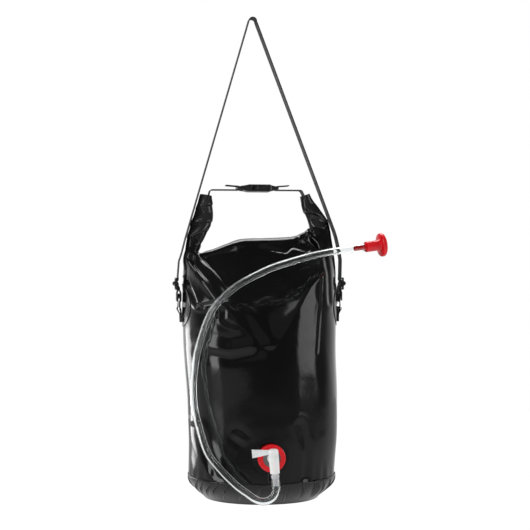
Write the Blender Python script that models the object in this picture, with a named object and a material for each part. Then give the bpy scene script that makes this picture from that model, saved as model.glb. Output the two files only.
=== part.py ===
"""Camp shower bag: a roll-top water bag on a shoulder strap, with a tap, a clear hose and a shower head.

Metres, +Z up, front towards -Y. The origin is the hang point, the underside of the strap's top bend.
"""
from math import cos, hypot, pi, radians, sin, sqrt

import bmesh
import bpy
from mathutils import Vector

# Shared clearances and cutter overrun
GAP = 0.0003
OVERRUN = 0.002

# Bag, measured down from the hang point
BASE_Z = -0.741
CUP_HEIGHT = 0.035
WIDEST_Z = -0.460
SHOULDER_Z = -0.505
BASE_X = 0.0145
TOP_X = 0.0115
TUBE_RADIUS = 0.1132
BAG_HALF_WIDTH = 0.120
BAG_HALF_DEPTH = 0.109
BAG_WALL = 0.0015
TUBE_LAP = 0.008
SHOULDER_RISE = 0.107
SHOULDER_STEP = 0.010
SHOULDER_FRONT_share = 7.0
SHOULDER_BULGE_share = 1.5
SHOULDER_TUCK_share = 1.0
RIM_HALF_DEPTH = 0.007
RIM_FIT_share = 0.985

# Base cup
CUP_WALL = 0.0015
CUP_CORNER = 0.026

# Back weld seam
BACK_SEAM_HALF_WIDTH = 0.010
BACK_SEAM_THICKNESS = 0.0008

# Rolled mouth: a flat roll across the bag whose ends bend up into two arms
MOUTH_Z = -0.362
MOUTH_HALF_SPAN = 0.100
ARM_RISE = 0.090
ROLL_HALF_HEIGHT = 0.0165
ROLL_HALF_DEPTH = 0.009
TIP_HALF_WIDTH = 0.0105
TIP_HALF_DEPTH = 0.0148
ROLL_LAYER_share = 0.14
ROLL_FLAP_TURN = pi / 4
ROLL_SEAT_share = 0.95
ROLL_ROUNDNESS_share = 2.6
MOUTH_ROUTE_shares = (
    (-0.832, 0.971), (-0.868, 0.772), (-0.878, 0.589), (-0.918, 0.411), (-0.950, 0.244),
    (-0.925, 0.100), (-0.800, 0.006), (-0.600, -0.022), (-0.300, 0.000), (0.000, 0.017),
    (0.300, 0.033), (0.580, 0.056), (0.780, 0.133), (0.910, 0.267), (0.960, 0.422),
    (0.930, 0.567), (0.850, 0.722), (0.775, 0.878), (0.722, 0.994),
)

# Closure webbing between the arm tips and the buckle
CLOSURE_WIDTH = 0.025
CLOSURE_THICKNESS = 0.0014
CLOSURE_INSERT = 0.012
CLOSURE_TIP_INSET = 0.004
CLOSURE_BEND = 0.006
CLOSURE_TAIL = 0.019
CLOSURE_TAIL_LIFT = 0.0015

# Side release buckle, lying flat with its length along X
BUCKLE_X = 0.0079
BUCKLE_Z = -0.2638
BUCKLE_HALF_WIDTH = 0.0165
BUCKLE_END_HALF_WIDTH = 0.0155
BUCKLE_HALF_THICKNESS = 0.0055
BUCKLE_END_HALF_THICKNESS = 0.0042
BUCKLE_EDGE = 0.0012
SOCKET_LENGTH = 0.047
SOCKET_FRAME = 0.012
SOCKET_CAVITY = 0.0275
SOCKET_WALL = 0.0032
CAVITY_HALF_HEIGHT = 0.0032
WINDOW_FRONT = 0.0100
WINDOW_LENGTH = 0.0140
PRONG_LENGTH = 0.017
BUCKLE_BAR_RADIUS = 0.0018
BUCKLE_SLOT = 0.0056
BUCKLE_SLOT_HALF_WIDTH = 0.0130
GUIDE_HALF_WIDTH = 0.0022
GUIDE_LENGTH = 0.021
LATCH_ROOT_Y = 0.0098
LATCH_HALF_THICKNESS = 0.0013
LATCH_HALF_HEIGHT = 0.0027
LATCH_NOSE = 0.0230
LATCH_LOBE = 0.0162
LATCH_NOSE_Y = 0.0112

# Shoulder strap
STRAP_WIDTH = 0.025
STRAP_THICKNESS = 0.0016
PEG_RADIUS = 0.005
STRAP_LEFT_SHOULDER = ((-0.1046, -0.3440), (-0.1105, -0.3680))
STRAP_RIGHT_SHOULDER = ((0.1320, -0.3378), (0.1378, -0.3650))
STRAP_BEND = 0.030
STRAP_TURN = 0.0022

# Sliders: an open frame with a round centre bar
SLIDER_Z = -0.412
SLIDER_HALF_WIDTH = 0.0160
SLIDER_HALF_THICKNESS = 0.0015
SLIDER_BAR_RADIUS = 0.0015
SLIDER_SLOT = 0.0058
SLIDER_FRAME = 0.0022
SLIDER_STANDOFF = 0.0040
SLIDER_EDGE = 0.0006

# D rings, tabs and side patches
RING_STANDOFF = 0.0055
RING_CENTRE_Z = -0.4440
RING_ARC_RADIUS = 0.0155
RING_WIRE_RADIUS = 0.0018
RING_DROP = 0.007
RING_CORNER = 0.003
TAB_WIDTH = 0.023
TAB_THICKNESS = 0.0012
TAB_LENGTH = 0.020
TAB_KNEE_share = 0.25
PATCH_Z = -0.445
PATCH_HALF_WIDTH = 0.050
PATCH_HALF_HEIGHT = 0.033
PATCH_THICKNESS = 0.0010
PATCH_FULLNESS_share = 0.9
PATCH_END_share = 0.9

# Outlet port on the front of the bag
PORT_HEIGHT = 0.0745
PORT_Z = BASE_Z + PORT_HEIGHT
FLANGE_RADIUS = 0.0275
FLANGE_THICKNESS = 0.0012
NECK_RADIUS = 0.0165
NECK_BORE = 0.0120
NECK_LENGTH = 0.0080
SEAL_THICKNESS = 0.003
NUT_RADIUS = 0.0205
NUT_OPENING = 0.0130
NUT_LIP = 0.0024
NUT_SKIRT = 0.0068
NUT_ROUND = 0.0016
NUT_RIB_COUNT = 18
NUT_RIB_DEPTH = 0.0004

# Tap, in a frame at the port that leans with the tap
TAP_TILT = radians(4.5)
BARREL_REACH = 0.0365
BARREL_RADIUS = 0.0075
BARREL_FOOT_RADIUS = 0.0070
BARREL_TOP = 0.0065
BARREL_FOOT = 0.0185
STEM_RADIUS = 0.0046
STEM_SHOULDER = 0.0110
STEM_COLLAR = 0.0070
STEM_COLLAR_THICKNESS = 0.0018
STEM_TAIL = 0.0060
STEM_BORE = 0.0030
SPOUT_ROOT = 0.0044
SPOUT_TIP = 0.0038
SPOUT_END = 0.0365
SPOUT_BORE = 0.0026

# Plug and lever
PLUG_RADIUS = 0.0052
PLUG_DEPTH = 0.0225
PLUG_BORE = 0.0028
HEAD_RADIUS = 0.0074
HEAD_HEIGHT = 0.0105
HEAD_ROUND = 0.0045
GROOVE_DEPTH = 0.0012
GROOVE_HEIGHT = 0.0022
GROOVE_DROP = 0.0040
LEVER_LENGTH = 0.031
LEVER_HALF_THICKNESS = 0.0022
LEVER_ROOT_HALF_HEIGHT = 0.0030
LEVER_END_HALF_HEIGHT = 0.0060
LEVER_ROOT_REACH = 0.0050
LEVER_RIM = 0.0012
LEVER_POCKET = 0.0008
LEVER_Z = 0.0130

# Hose: route points by hand, in the order from the spout to the shower head
HOSE_RADIUS = 0.006
HOSE_STEP = 0.0095
HOSE_LEAD = 0.005
HOSE_ROUTE = (
    (0.0150, -0.1488, -0.7160), (0.0085, -0.1484, -0.7232), (-0.0020, -0.1472, -0.7258),
    (-0.0130, -0.1450, -0.7225), (-0.0240, -0.1415, -0.7150), (-0.0396, -0.1330, -0.7038),
    (-0.0596, -0.1180, -0.6843), (-0.0789, -0.0985, -0.6591), (-0.0919, -0.0765, -0.6142),
    (-0.0958, -0.0690, -0.5925), (-0.0968, -0.0645, -0.5630), (-0.0948, -0.0635, -0.5406),
    (-0.0911, -0.0697, -0.5132), (-0.0846, -0.0780, -0.4880), (-0.0774, -0.0853, -0.4652),
    (-0.0678, -0.0930, -0.4455), (-0.0550, -0.1005, -0.4306), (-0.0369, -0.1050, -0.4148),
    (-0.0114, -0.1035, -0.4003), (0.0177, -0.1010, -0.3870), (0.0484, -0.0970, -0.3772),
    (0.0792, -0.0925, -0.3689), (0.1074, -0.0880, -0.3634), (0.1281, -0.0850, -0.3605),
)
HOSE_END = (0.1453, -0.0822, -0.3582)

# Shower head, in a frame at the barb's end that points along the head
HEAD_TURN = radians(9.5)
HEAD_LIFT = radians(7.4)
BARB_RADIUS = 0.0037
BARB_RIDGE = 0.0040
BARB_LENGTH = 0.0165
BARB_PITCH = 0.0050
BARB_COUNT = 3
SHOULDER_RADIUS = 0.0058
SHOULDER_LENGTH = 0.0018
SLEEVE_RADIUS = 0.0050
SLEEVE_END = 0.0330
STEM_CHANNEL = 0.0025
ROSE_START = 0.0186
NECK_OUTER = 0.0080
ROSE_NECK_END = 0.0370
ROSE_RADIUS = 0.0180
ROSE_RIM_START = 0.0415
ROSE_END = 0.0480
ROSE_ROUND = 0.0022
ROSE_WALL = 0.0020
PLATE_THICKNESS = 0.0016
PLATE_SEAT_DEPTH = 0.0022
SPRAY_HOLE = 0.0007
SPRAY_RINGS_shares = ((0.0, 1), (0.34, 6), (0.68, 12))

# Facet counts
BAG_COLUMNS = 48
TUBE_LEVELS = 5
TOP_LEVELS = 2
SHOULDER_LEVELS = 10
CUP_LEVELS = 6
ROUND_SIDES = 32
SMALL_SIDES = 20
FINE_SIDES = 12
MOUTH_STEPS = 2
SMOOTH_STEPS = 12
CLOSURE_STEPS = 6
PATCH_ROWS = 12
PATCH_COLUMNS = 8


def clear_scene():
    for old in list(bpy.data.objects):
        bpy.data.objects.remove(old, do_unlink=True)


def material(name, colour, roughness, metallic=0.0, alpha=1.0):
    made = bpy.data.materials.new(name)
    made.use_nodes = True
    shader = made.node_tree.nodes["Principled BSDF"]
    shader.inputs["Base Color"].default_value = (*colour, 1.0)
    shader.inputs["Roughness"].default_value = roughness
    shader.inputs["Metallic"].default_value = metallic
    shader.inputs["Alpha"].default_value = alpha
    return made


def place(name, mesh_source, finish, location=(0, 0, 0), parent=None, sharp=35):
    """Turn a bmesh into a named object with its own material."""
    bmesh.ops.remove_doubles(mesh_source, verts=mesh_source.verts, dist=GAP / 30)
    bmesh.ops.recalc_face_normals(mesh_source, faces=mesh_source.faces)
    mesh = bpy.data.meshes.new(name)
    mesh_source.to_mesh(mesh)
    mesh_source.free()
    mesh.shade_smooth()
    mesh.set_sharp_from_angle(angle=radians(sharp))
    made = bpy.data.objects.new(name, mesh)
    made.location = location
    made.parent = parent
    bpy.context.scene.collection.objects.link(made)
    if finish:
        mesh.materials.append(finish)
    return made


def frame_at(name, location, rotation):
    made = bpy.data.objects.new(name, None)
    made.location = location
    made.rotation_euler = rotation
    bpy.context.scene.collection.objects.link(made)
    return made


def combine(target, tool_mesh, operation, name, location=(0, 0, 0), parent=None):
    """Add a boolean to target; the tool stays in the file as a wire guide."""
    tool = place(name, tool_mesh, None, location, parent)
    tool.hide_render = True
    tool.display_type = "WIRE"
    step = target.modifiers.new(name, "BOOLEAN")
    step.operation = operation
    step.solver = "EXACT"
    step.object = tool
    return tool


def loft(rings):
    """A closed solid through rings of equal point count, capped at both ends."""
    built = bmesh.new()
    rows = [[built.verts.new(point) for point in ring] for ring in rings]
    count = len(rows[0])
    for low, high in zip(rows, rows[1:]):
        for k in range(count):
            following = (k + 1) % count
            built.faces.new((low[k], low[following], high[following], high[k]))
    built.faces.new(reversed(rows[0]))
    built.faces.new(rows[-1])
    return built


def revolve(profile, sides=ROUND_SIDES):
    """Spin a closed (radius, height) outline about Z; points on the axis become one point."""
    built = bmesh.new()
    columns = []
    for k in range(sides):
        angle = 2 * pi * k / sides
        columns.append([(r * cos(angle), r * sin(angle), h) for r, h in profile])
    poles = [built.verts.new((0, 0, h)) if r == 0 else None for r, h in profile]
    grid = [[poles[i] or built.verts.new(point) for i, point in enumerate(column)] for column in columns]
    for k in range(sides):
        here, there = grid[k], grid[(k + 1) % sides]
        for i in range(len(profile)):
            j = (i + 1) % len(profile)
            corners = [here[i], here[j], there[j], there[i]]
            distinct = [v for n, v in enumerate(corners) if v not in corners[:n]]
            if len(distinct) > 2:
                built.faces.new(distinct)
    return built


def prism(outline, low, high):
    """Extrude an (x, y) outline from z low to z high."""
    return loft([[(x, y, z) for x, y in outline] for z in (low, high)])


def rod(radius, start, end, sides=SMALL_SIDES):
    """A plain cylinder between two points."""
    start, end = Vector(start), Vector(end)
    turn = (end - start).to_track_quat("Z", "Y")
    rings = []
    for centre in (start, end):
        ring = []
        for k in range(sides):
            angle = 2 * pi * k / sides
            ring.append(centre + turn @ Vector((radius * cos(angle), radius * sin(angle), 0)))
        rings.append(ring)
    return loft(rings)


def joined(pieces):
    """Several separate solids in one mesh."""
    built = bmesh.new()
    for piece in pieces:
        found = {v: built.verts.new(v.co) for v in piece.verts}
        for face in piece.faces:
            built.faces.new([found[v] for v in face.verts])
        piece.free()
    return built


def block(low, high):
    """A box between two corners."""
    outline = ((low[0], low[1]), (high[0], low[1]), (high[0], high[1]), (low[0], high[1]))
    return prism(outline, low[2], high[2])


def arc(centre, radius, start, end, steps):
    """Points on an arc in a plane, angles in degrees."""
    angles = [radians(start + (end - start) * k / steps) for k in range(steps + 1)]
    return [(centre[0] + radius * cos(a), centre[1] + radius * sin(a)) for a in angles]


def rounded(points, reach, steps=4):
    """A polyline with each inner corner turned into a smooth bend."""
    points = [Vector(p) for p in points]
    path = [points[0]]
    for before, corner, after in zip(points, points[1:], points[2:]):
        trim = min(reach, (corner - before).length * 0.45, (after - corner).length * 0.45)
        start = corner + (before - corner).normalized() * trim
        end = corner + (after - corner).normalized() * trim
        for k in range(steps + 1):
            t = k / steps
            path.append(start * (1 - t) ** 2 + corner * 2 * t * (1 - t) + end * t ** 2)
    path.append(points[-1])
    return path


def catmull(points, steps):
    """A smooth curve through every point."""
    points = [Vector(p) for p in points]
    padded = [points[0] * 2 - points[1]] + points + [points[-1] * 2 - points[-2]]
    path = []
    for a, b, c, d in zip(padded, padded[1:], padded[2:], padded[3:]):
        for k in range(steps):
            t = k / steps
            path.append(0.5 * ((2 * b) + (c - a) * t + (2 * a - 5 * b + 4 * c - d) * t ** 2
                               + (3 * b - a - 3 * c + d) * t ** 3))
    path.append(points[-1])
    return path


def tangents(path):
    found = []
    for k in range(len(path)):
        before = path[max(k - 1, 0)]
        after = path[min(k + 1, len(path) - 1)]
        found.append((Vector(after) - Vector(before)).normalized())
    return found


def ribbon(path, thickness, width):
    """Webbing along a path of (x, z) points, its width along Y."""
    rings = []
    for point, along in zip(path, tangents(path)):
        side = Vector((along[1], -along[0])) * thickness / 2
        outer = Vector(point) + side
        inner = Vector(point) - side
        rings.append([(outer.x, -width / 2, outer.y), (outer.x, width / 2, outer.y),
                      (inner.x, width / 2, inner.y), (inner.x, -width / 2, inner.y)])
    return loft(rings)


def share_up(z):
    """0 at the base seam, 1 where the bag is widest, and flat beyond."""
    return min(max((z - seam_z()) / (WIDEST_Z - seam_z()), 0), 1)


def seam_z():
    return BASE_Z + CUP_HEIGHT


def bag_axis_x(z):
    return BASE_X + (TOP_X - BASE_X) * share_up(z)


def bag_halves(z):
    """Half width and half depth of the tube at a height."""
    up = share_up(z)
    return TUBE_RADIUS + (BAG_HALF_WIDTH - TUBE_RADIUS) * up, TUBE_RADIUS + (BAG_HALF_DEPTH - TUBE_RADIUS) * up


def bag_point(angle, z, lift=0.0):
    """A point on the tube, or lifted off it; angle 0 is the right side and 90 the back."""
    half_width, half_depth = bag_halves(z)
    return (bag_axis_x(z) + (half_width + lift) * cos(angle), (half_depth + lift) * sin(angle), z)


def mouth_stations():
    """Centre, direction, half height and half depth along the rolled mouth."""
    control = [(TOP_X + MOUTH_HALF_SPAN * x, MOUTH_Z + ARM_RISE * up) for x, up in MOUTH_ROUTE_shares]
    path = catmull(control, MOUTH_STEPS)
    stations = []
    for point, along in zip(path, tangents(path)):
        up = (point[1] - MOUTH_Z) / ARM_RISE
        blend = min(max((up - 0.15) / 0.8, 0), 1)
        blend = blend * blend * (3 - 2 * blend)
        half_height = ROLL_HALF_HEIGHT + (TIP_HALF_WIDTH - ROLL_HALF_HEIGHT) * blend
        half_depth = ROLL_HALF_DEPTH + (TIP_HALF_DEPTH - ROLL_HALF_DEPTH) * blend
        stations.append((point, along, half_height, half_depth))
    return stations


def roll_drop_share(depth_share):
    """How far the roll's underside reaches at a share of its half depth."""
    left = 1 - min(abs(depth_share), 1) ** ROLL_ROUNDNESS_share
    return left ** (1 / ROLL_ROUNDNESS_share)


def rim_curve(y):
    """The roll's outer underside at a depth y, as (x, z) points, where the bag's rim seats."""
    inner = max(abs(y) - BAG_WALL, 0)
    curve = []
    for point, along, half_height, half_depth in mouth_stations():
        out = Vector((along[1], -along[0]))
        reach = half_height * ROLL_SEAT_share * roll_drop_share(inner / half_depth)
        curve.append(point + out * (reach + 2 * GAP))
    return curve


def rim_z(x, curve):
    """Lowest height at which the seat curve passes x."""
    heights = []
    for a, b in zip(curve, curve[1:]):
        if min(a[0], b[0]) <= x <= max(a[0], b[0]) and a[0] != b[0]:
            heights.append(a[1] + (b[1] - a[1]) * (x - a[0]) / (b[0] - a[0]))
    return min(heights)


def rim_span():
    curve = rim_curve(0)
    left = min(point[0] for point in curve)
    right = max(point[0] for point in curve)
    return (left + right) / 2, (right - left) / 2 * RIM_FIT_share


def shoulder_start(angle):
    """Height at which the skin turns in: higher at the sides than in front and behind."""
    return SHOULDER_Z + SHOULDER_RISE * (1 - abs(sin(angle)) ** SHOULDER_FRONT_share)


def tube_top(angle):
    """Height of the tube's last full ring, always a step below the shoulder."""
    return min(WIDEST_Z, shoulder_start(angle) - SHOULDER_STEP)


def bag_body(finish):
    """One skin from the lap inside the base cup to the rim under the rolled mouth."""
    angles = [2 * pi * k / BAG_COLUMNS for k in range(BAG_COLUMNS)]
    lap_radius = cup_radius(-TUBE_LAP, CUP_WALL) - GAP
    rings = [[(BASE_X + lap_radius * cos(a), lap_radius * sin(a), seam_z() - TUBE_LAP) for a in angles]]
    for level in range(TUBE_LEVELS + 1):
        up = level / TUBE_LEVELS
        rings.append([bag_point(a, seam_z() + (tube_top(a) - seam_z()) * up) for a in angles])
    for level in range(1, TOP_LEVELS + 1):
        up = level / TOP_LEVELS
        rings.append([bag_point(a, tube_top(a) + (shoulder_start(a) - tube_top(a)) * up) for a in angles])
    rim_x, rim_half = rim_span()
    rim = []
    for angle in angles:
        x = rim_x + rim_half * cos(angle)
        y = RIM_HALF_DEPTH * sin(angle)
        rim.append((x, y, rim_z(x, rim_curve(y))))
    base = rings[-1]
    for level in range(1, SHOULDER_LEVELS + 1):
        t = level / SHOULDER_LEVELS
        ring = []
        for low, high in zip(base, rim):
            x = low[0] + (high[0] - low[0]) * t * t
            y = high[1] + (low[1] - high[1]) * (1 - t ** SHOULDER_BULGE_share) ** SHOULDER_TUCK_share
            ring.append((x, y, low[2] + (high[2] - low[2]) * t))
        rings.append(ring)
    skin = loft(rings)
    skin.faces.ensure_lookup_table()
    bmesh.ops.delete(skin, geom=[f for f in skin.faces if len(f.verts) > 4], context="FACES_ONLY")
    body = place("bag_body", skin, finish)
    shell = body.modifiers.new("wall", "SOLIDIFY")
    shell.thickness = BAG_WALL
    shell.offset = -1
    shell.use_even_offset = True
    port_x = bag_axis_x(PORT_Z)
    hole = rod(NECK_BORE, (port_x, -barrel_front(), PORT_Z), (port_x, -TUBE_RADIUS / 2, PORT_Z))
    combine(body, hole, "DIFFERENCE", "port_hole_cutter")


def cup_radius(above_seam, inset=0.0):
    """The cup's radius at a height from the seam; its side is one long bend down to the flat base."""
    flat = TUBE_RADIUS + GAP + CUP_WALL - CUP_CORNER
    down = above_seam / (CUP_HEIGHT - inset)
    return flat + (CUP_CORNER - inset) * sqrt(max(1 - down * down, 0))


def base_cup(finish):
    outer, inner = [], []
    for k in range(CUP_LEVELS + 1):
        down = sin(pi / 2 * k / CUP_LEVELS)
        outer.append((cup_radius(-CUP_HEIGHT * down), seam_z() - CUP_HEIGHT * down))
        drop = (CUP_HEIGHT - CUP_WALL) * down
        inner.append((cup_radius(-drop, CUP_WALL), seam_z() - drop))
    profile = [(0, BASE_Z)] + outer[::-1] + inner + [(0, BASE_Z + CUP_WALL)]
    place("base_cup", revolve(profile, BAG_COLUMNS), finish, (BASE_X, 0, 0))


def skin_piece(name, finish, middle, spans, thickness, columns):
    """A thin sheet welded on the outside of the tube: rows of (height, half width) about an angle."""
    built = bmesh.new()
    grid = []
    for z, half_width in spans:
        reach = half_width / bag_halves(z)[0]
        grid.append([built.verts.new(bag_point(middle + reach * (2 * c / columns - 1), z, GAP))
                     for c in range(columns + 1)])
    for under, over in zip(grid, grid[1:]):
        for c in range(columns):
            built.faces.new((under[c], under[c + 1], over[c + 1], over[c]))
    sheet = place(name, built, finish)
    shell = sheet.modifiers.new("thickness", "SOLIDIFY")
    shell.thickness = thickness
    shell.offset = 1
    shell.use_even_offset = True


def rolled_mouth(finish):
    """The roll's flat spiral outline swept along the mouth, with a slot in each arm tip."""
    rings = []
    for point, along, half_height, half_depth in mouth_stations():
        out = Vector((along[1], -along[0]))
        ring = []
        for k in range(SMALL_SIDES):
            turn = 2 * pi * k / SMALL_SIDES + ROLL_FLAP_TURN
            size = 1 - ROLL_LAYER_share * k / SMALL_SIDES
            power = 2 / ROLL_ROUNDNESS_share
            u = size * half_height * abs(cos(turn)) ** power * (1 if cos(turn) > 0 else -1)
            v = size * half_depth * abs(sin(turn)) ** power * (1 if sin(turn) > 0 else -1)
            ring.append((point[0] + out[0] * u, v, point[1] + out[1] * u))
        rings.append(ring)
    mouth = place("rolled_mouth", loft(rings), finish, sharp=50)
    for side, label in ((-1, "left"), (1, "right")):
        inside = closure_path(side)[:CLOSURE_STEPS + 2]
        along = (inside[0] - inside[1]).normalized()
        slot = ribbon([inside[0] + along * GAP] + inside, CLOSURE_THICKNESS + 2 * GAP, CLOSURE_WIDTH + 2 * GAP)
        combine(mouth, slot, "DIFFERENCE", label + "_tip_slot_cutter")


def buckle_end_x(side):
    half = (SOCKET_LENGTH + PRONG_LENGTH) / 2
    return BUCKLE_X + side * half


def bar_centre_x(side):
    return buckle_end_x(side) - side * BUCKLE_BAR_RADIUS


def closure_path(side):
    """From inside an arm tip, over to the buckle bar, round it and back as a short tail."""
    stations = mouth_stations()
    tip, along = (stations[0][0], -stations[0][1]) if side < 0 else (stations[-1][0], stations[-1][1])
    wrap = BUCKLE_BAR_RADIUS + GAP + CLOSURE_THICKNESS / 2
    load_z = BUCKLE_Z - wrap
    bar = bar_centre_x(side)
    entry = tip + Vector((-side, 0)) * CLOSURE_TIP_INSET
    start = entry - along * CLOSURE_INSERT
    corner = entry + along * ((load_z - entry[1]) / along[1])
    run = rounded([start, entry, corner, Vector((bar, load_z))], CLOSURE_BEND, CLOSURE_STEPS)
    if side < 0:
        turn = arc((bar, BUCKLE_Z), wrap, -90, 90, 8)
    else:
        turn = arc((bar, BUCKLE_Z), wrap, 270, 90, 8)
    tail = [(bar + side * CLOSURE_TAIL, BUCKLE_Z + wrap + CLOSURE_TAIL_LIFT)]
    return [Vector(p) for p in run + turn[1:] + tail]


def closure_webbing(side, label, finish):
    place(label + "_closure_webbing", ribbon(closure_path(side), CLOSURE_THICKNESS, CLOSURE_WIDTH), finish)


def buckle_ring(x, half_width, half_thickness):
    """A rounded rectangle across the buckle at one place along it."""
    edge = BUCKLE_EDGE
    outline = []
    for sy, sz, first in ((1, 1, 0), (-1, 1, 90), (-1, -1, 180), (1, -1, 270)):
        centre = (sy * (half_width - edge), sz * (half_thickness - edge))
        outline += arc(centre, edge, first, first + 90, 3)
    return [(x, y, z) for y, z in outline]


def webbing_end(target, side, mouth, label):
    """Cut the webbing slot inboard of the end bar, and round the bar."""
    end = side * mouth
    bar = end - side * BUCKLE_BAR_RADIUS
    wide = BUCKLE_SLOT_HALF_WIDTH
    tall = BUCKLE_HALF_THICKNESS + OVERRUN
    inboard = bar - side * (BUCKLE_BAR_RADIUS + BUCKLE_SLOT)
    low, high = min(end + side * OVERRUN, inboard), max(end + side * OVERRUN, inboard)
    combine(target, block((low, -wide, -tall), (high, wide, tall)), "DIFFERENCE", label + "_slot_cutter",
            (BUCKLE_X, 0, BUCKLE_Z))
    pin = rod(BUCKLE_BAR_RADIUS, (bar, -wide - BUCKLE_EDGE, 0), (bar, wide + BUCKLE_EDGE, 0), FINE_SIDES)
    combine(target, pin, "UNION", label + "_bar", (BUCKLE_X, 0, BUCKLE_Z))


def mouth_x():
    """The socket's mouth, measured from the buckle's middle."""
    return SOCKET_LENGTH - (SOCKET_LENGTH + PRONG_LENGTH) / 2


def buckle_socket(finish):
    half = (SOCKET_LENGTH + PRONG_LENGTH) / 2
    mouth = mouth_x()
    frame_end = -half + SOCKET_FRAME
    rings = [
        buckle_ring(-half, BUCKLE_END_HALF_WIDTH, BUCKLE_BAR_RADIUS),
        buckle_ring(-half + SOCKET_FRAME / 2, BUCKLE_END_HALF_WIDTH, BUCKLE_END_HALF_THICKNESS / 2 + BUCKLE_EDGE),
        buckle_ring(frame_end, BUCKLE_END_HALF_WIDTH, BUCKLE_END_HALF_THICKNESS),
        buckle_ring(frame_end + SOCKET_FRAME / 2, BUCKLE_HALF_WIDTH, BUCKLE_HALF_THICKNESS),
        buckle_ring(mouth, BUCKLE_HALF_WIDTH, BUCKLE_HALF_THICKNESS),
    ]
    socket = place("buckle_socket", loft(rings), finish, (BUCKLE_X, 0, BUCKLE_Z))
    inside = BUCKLE_HALF_WIDTH - SOCKET_WALL
    cavity = block((mouth - SOCKET_CAVITY, -inside, -CAVITY_HALF_HEIGHT),
                   (mouth + OVERRUN, inside, CAVITY_HALF_HEIGHT))
    combine(socket, cavity, "DIFFERENCE", "socket_cavity_cutter", (BUCKLE_X, 0, BUCKLE_Z))
    beyond = BUCKLE_HALF_WIDTH + OVERRUN
    front = mouth - WINDOW_FRONT
    window = block((front - WINDOW_LENGTH, -beyond, -CAVITY_HALF_HEIGHT), (front, beyond, CAVITY_HALF_HEIGHT))
    combine(socket, window, "DIFFERENCE", "socket_window_cutter", (BUCKLE_X, 0, BUCKLE_Z))
    webbing_end(socket, -1, half, "socket")


def buckle_prong_base(finish):
    half = (SOCKET_LENGTH + PRONG_LENGTH) / 2
    start = mouth_x() + GAP
    rings = [
        buckle_ring(start, BUCKLE_HALF_WIDTH, BUCKLE_HALF_THICKNESS),
        buckle_ring(start + BUCKLE_EDGE * 3, BUCKLE_HALF_WIDTH, BUCKLE_HALF_THICKNESS),
        buckle_ring(start + BUCKLE_EDGE * 5, BUCKLE_END_HALF_WIDTH, BUCKLE_END_HALF_THICKNESS),
        buckle_ring(half, BUCKLE_END_HALF_WIDTH, BUCKLE_BAR_RADIUS),
    ]
    base = place("buckle_prong_base", loft(rings), finish, (BUCKLE_X, 0, BUCKLE_Z))
    guide = block((start - GUIDE_LENGTH, -GUIDE_HALF_WIDTH, -LATCH_HALF_HEIGHT),
                  (start + BUCKLE_EDGE, GUIDE_HALF_WIDTH, LATCH_HALF_HEIGHT))
    combine(base, guide, "UNION", "guide_prong", (BUCKLE_X, 0, BUCKLE_Z))
    webbing_end(base, 1, half, "prong")


def buckle_latch(side, label, finish):
    """One springy side arm; its origin is the root, where it flexes."""
    root_x = mouth_x() - LATCH_HALF_THICKNESS
    thick = LATCH_HALF_THICKNESS
    catch = -(WINDOW_FRONT + GAP - LATCH_HALF_THICKNESS)
    nose = -(LATCH_NOSE - LATCH_HALF_THICKNESS)
    lobe = LATCH_LOBE - LATCH_ROOT_Y
    nose_y = LATCH_NOSE_Y - LATCH_ROOT_Y
    root = arc((0, 0), thick, 90, -90, 6)
    outline = root + [
        (catch, -thick), (nose + thick, nose_y - thick), (nose, nose_y), (nose + thick, nose_y + thick),
        (catch - 3 * thick, lobe), (catch, lobe), (catch, thick),
    ]
    outline = [(x, side * y) for x, y in outline]
    place(label, prism(outline, -LATCH_HALF_HEIGHT, LATCH_HALF_HEIGHT), finish,
          (BUCKLE_X + root_x, side * LATCH_ROOT_Y, BUCKLE_Z))


def ring_plane_x(side):
    return bag_axis_x(RING_CENTRE_Z) + side * (BAG_HALF_WIDTH + RING_STANDOFF)


def strap_seat():
    """Height above the ring's centre at which a flat webbing seats inside its arc."""
    inside = RING_ARC_RADIUS - RING_WIRE_RADIUS - GAP
    return sqrt(inside ** 2 - (STRAP_WIDTH / 2) ** 2)


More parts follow.
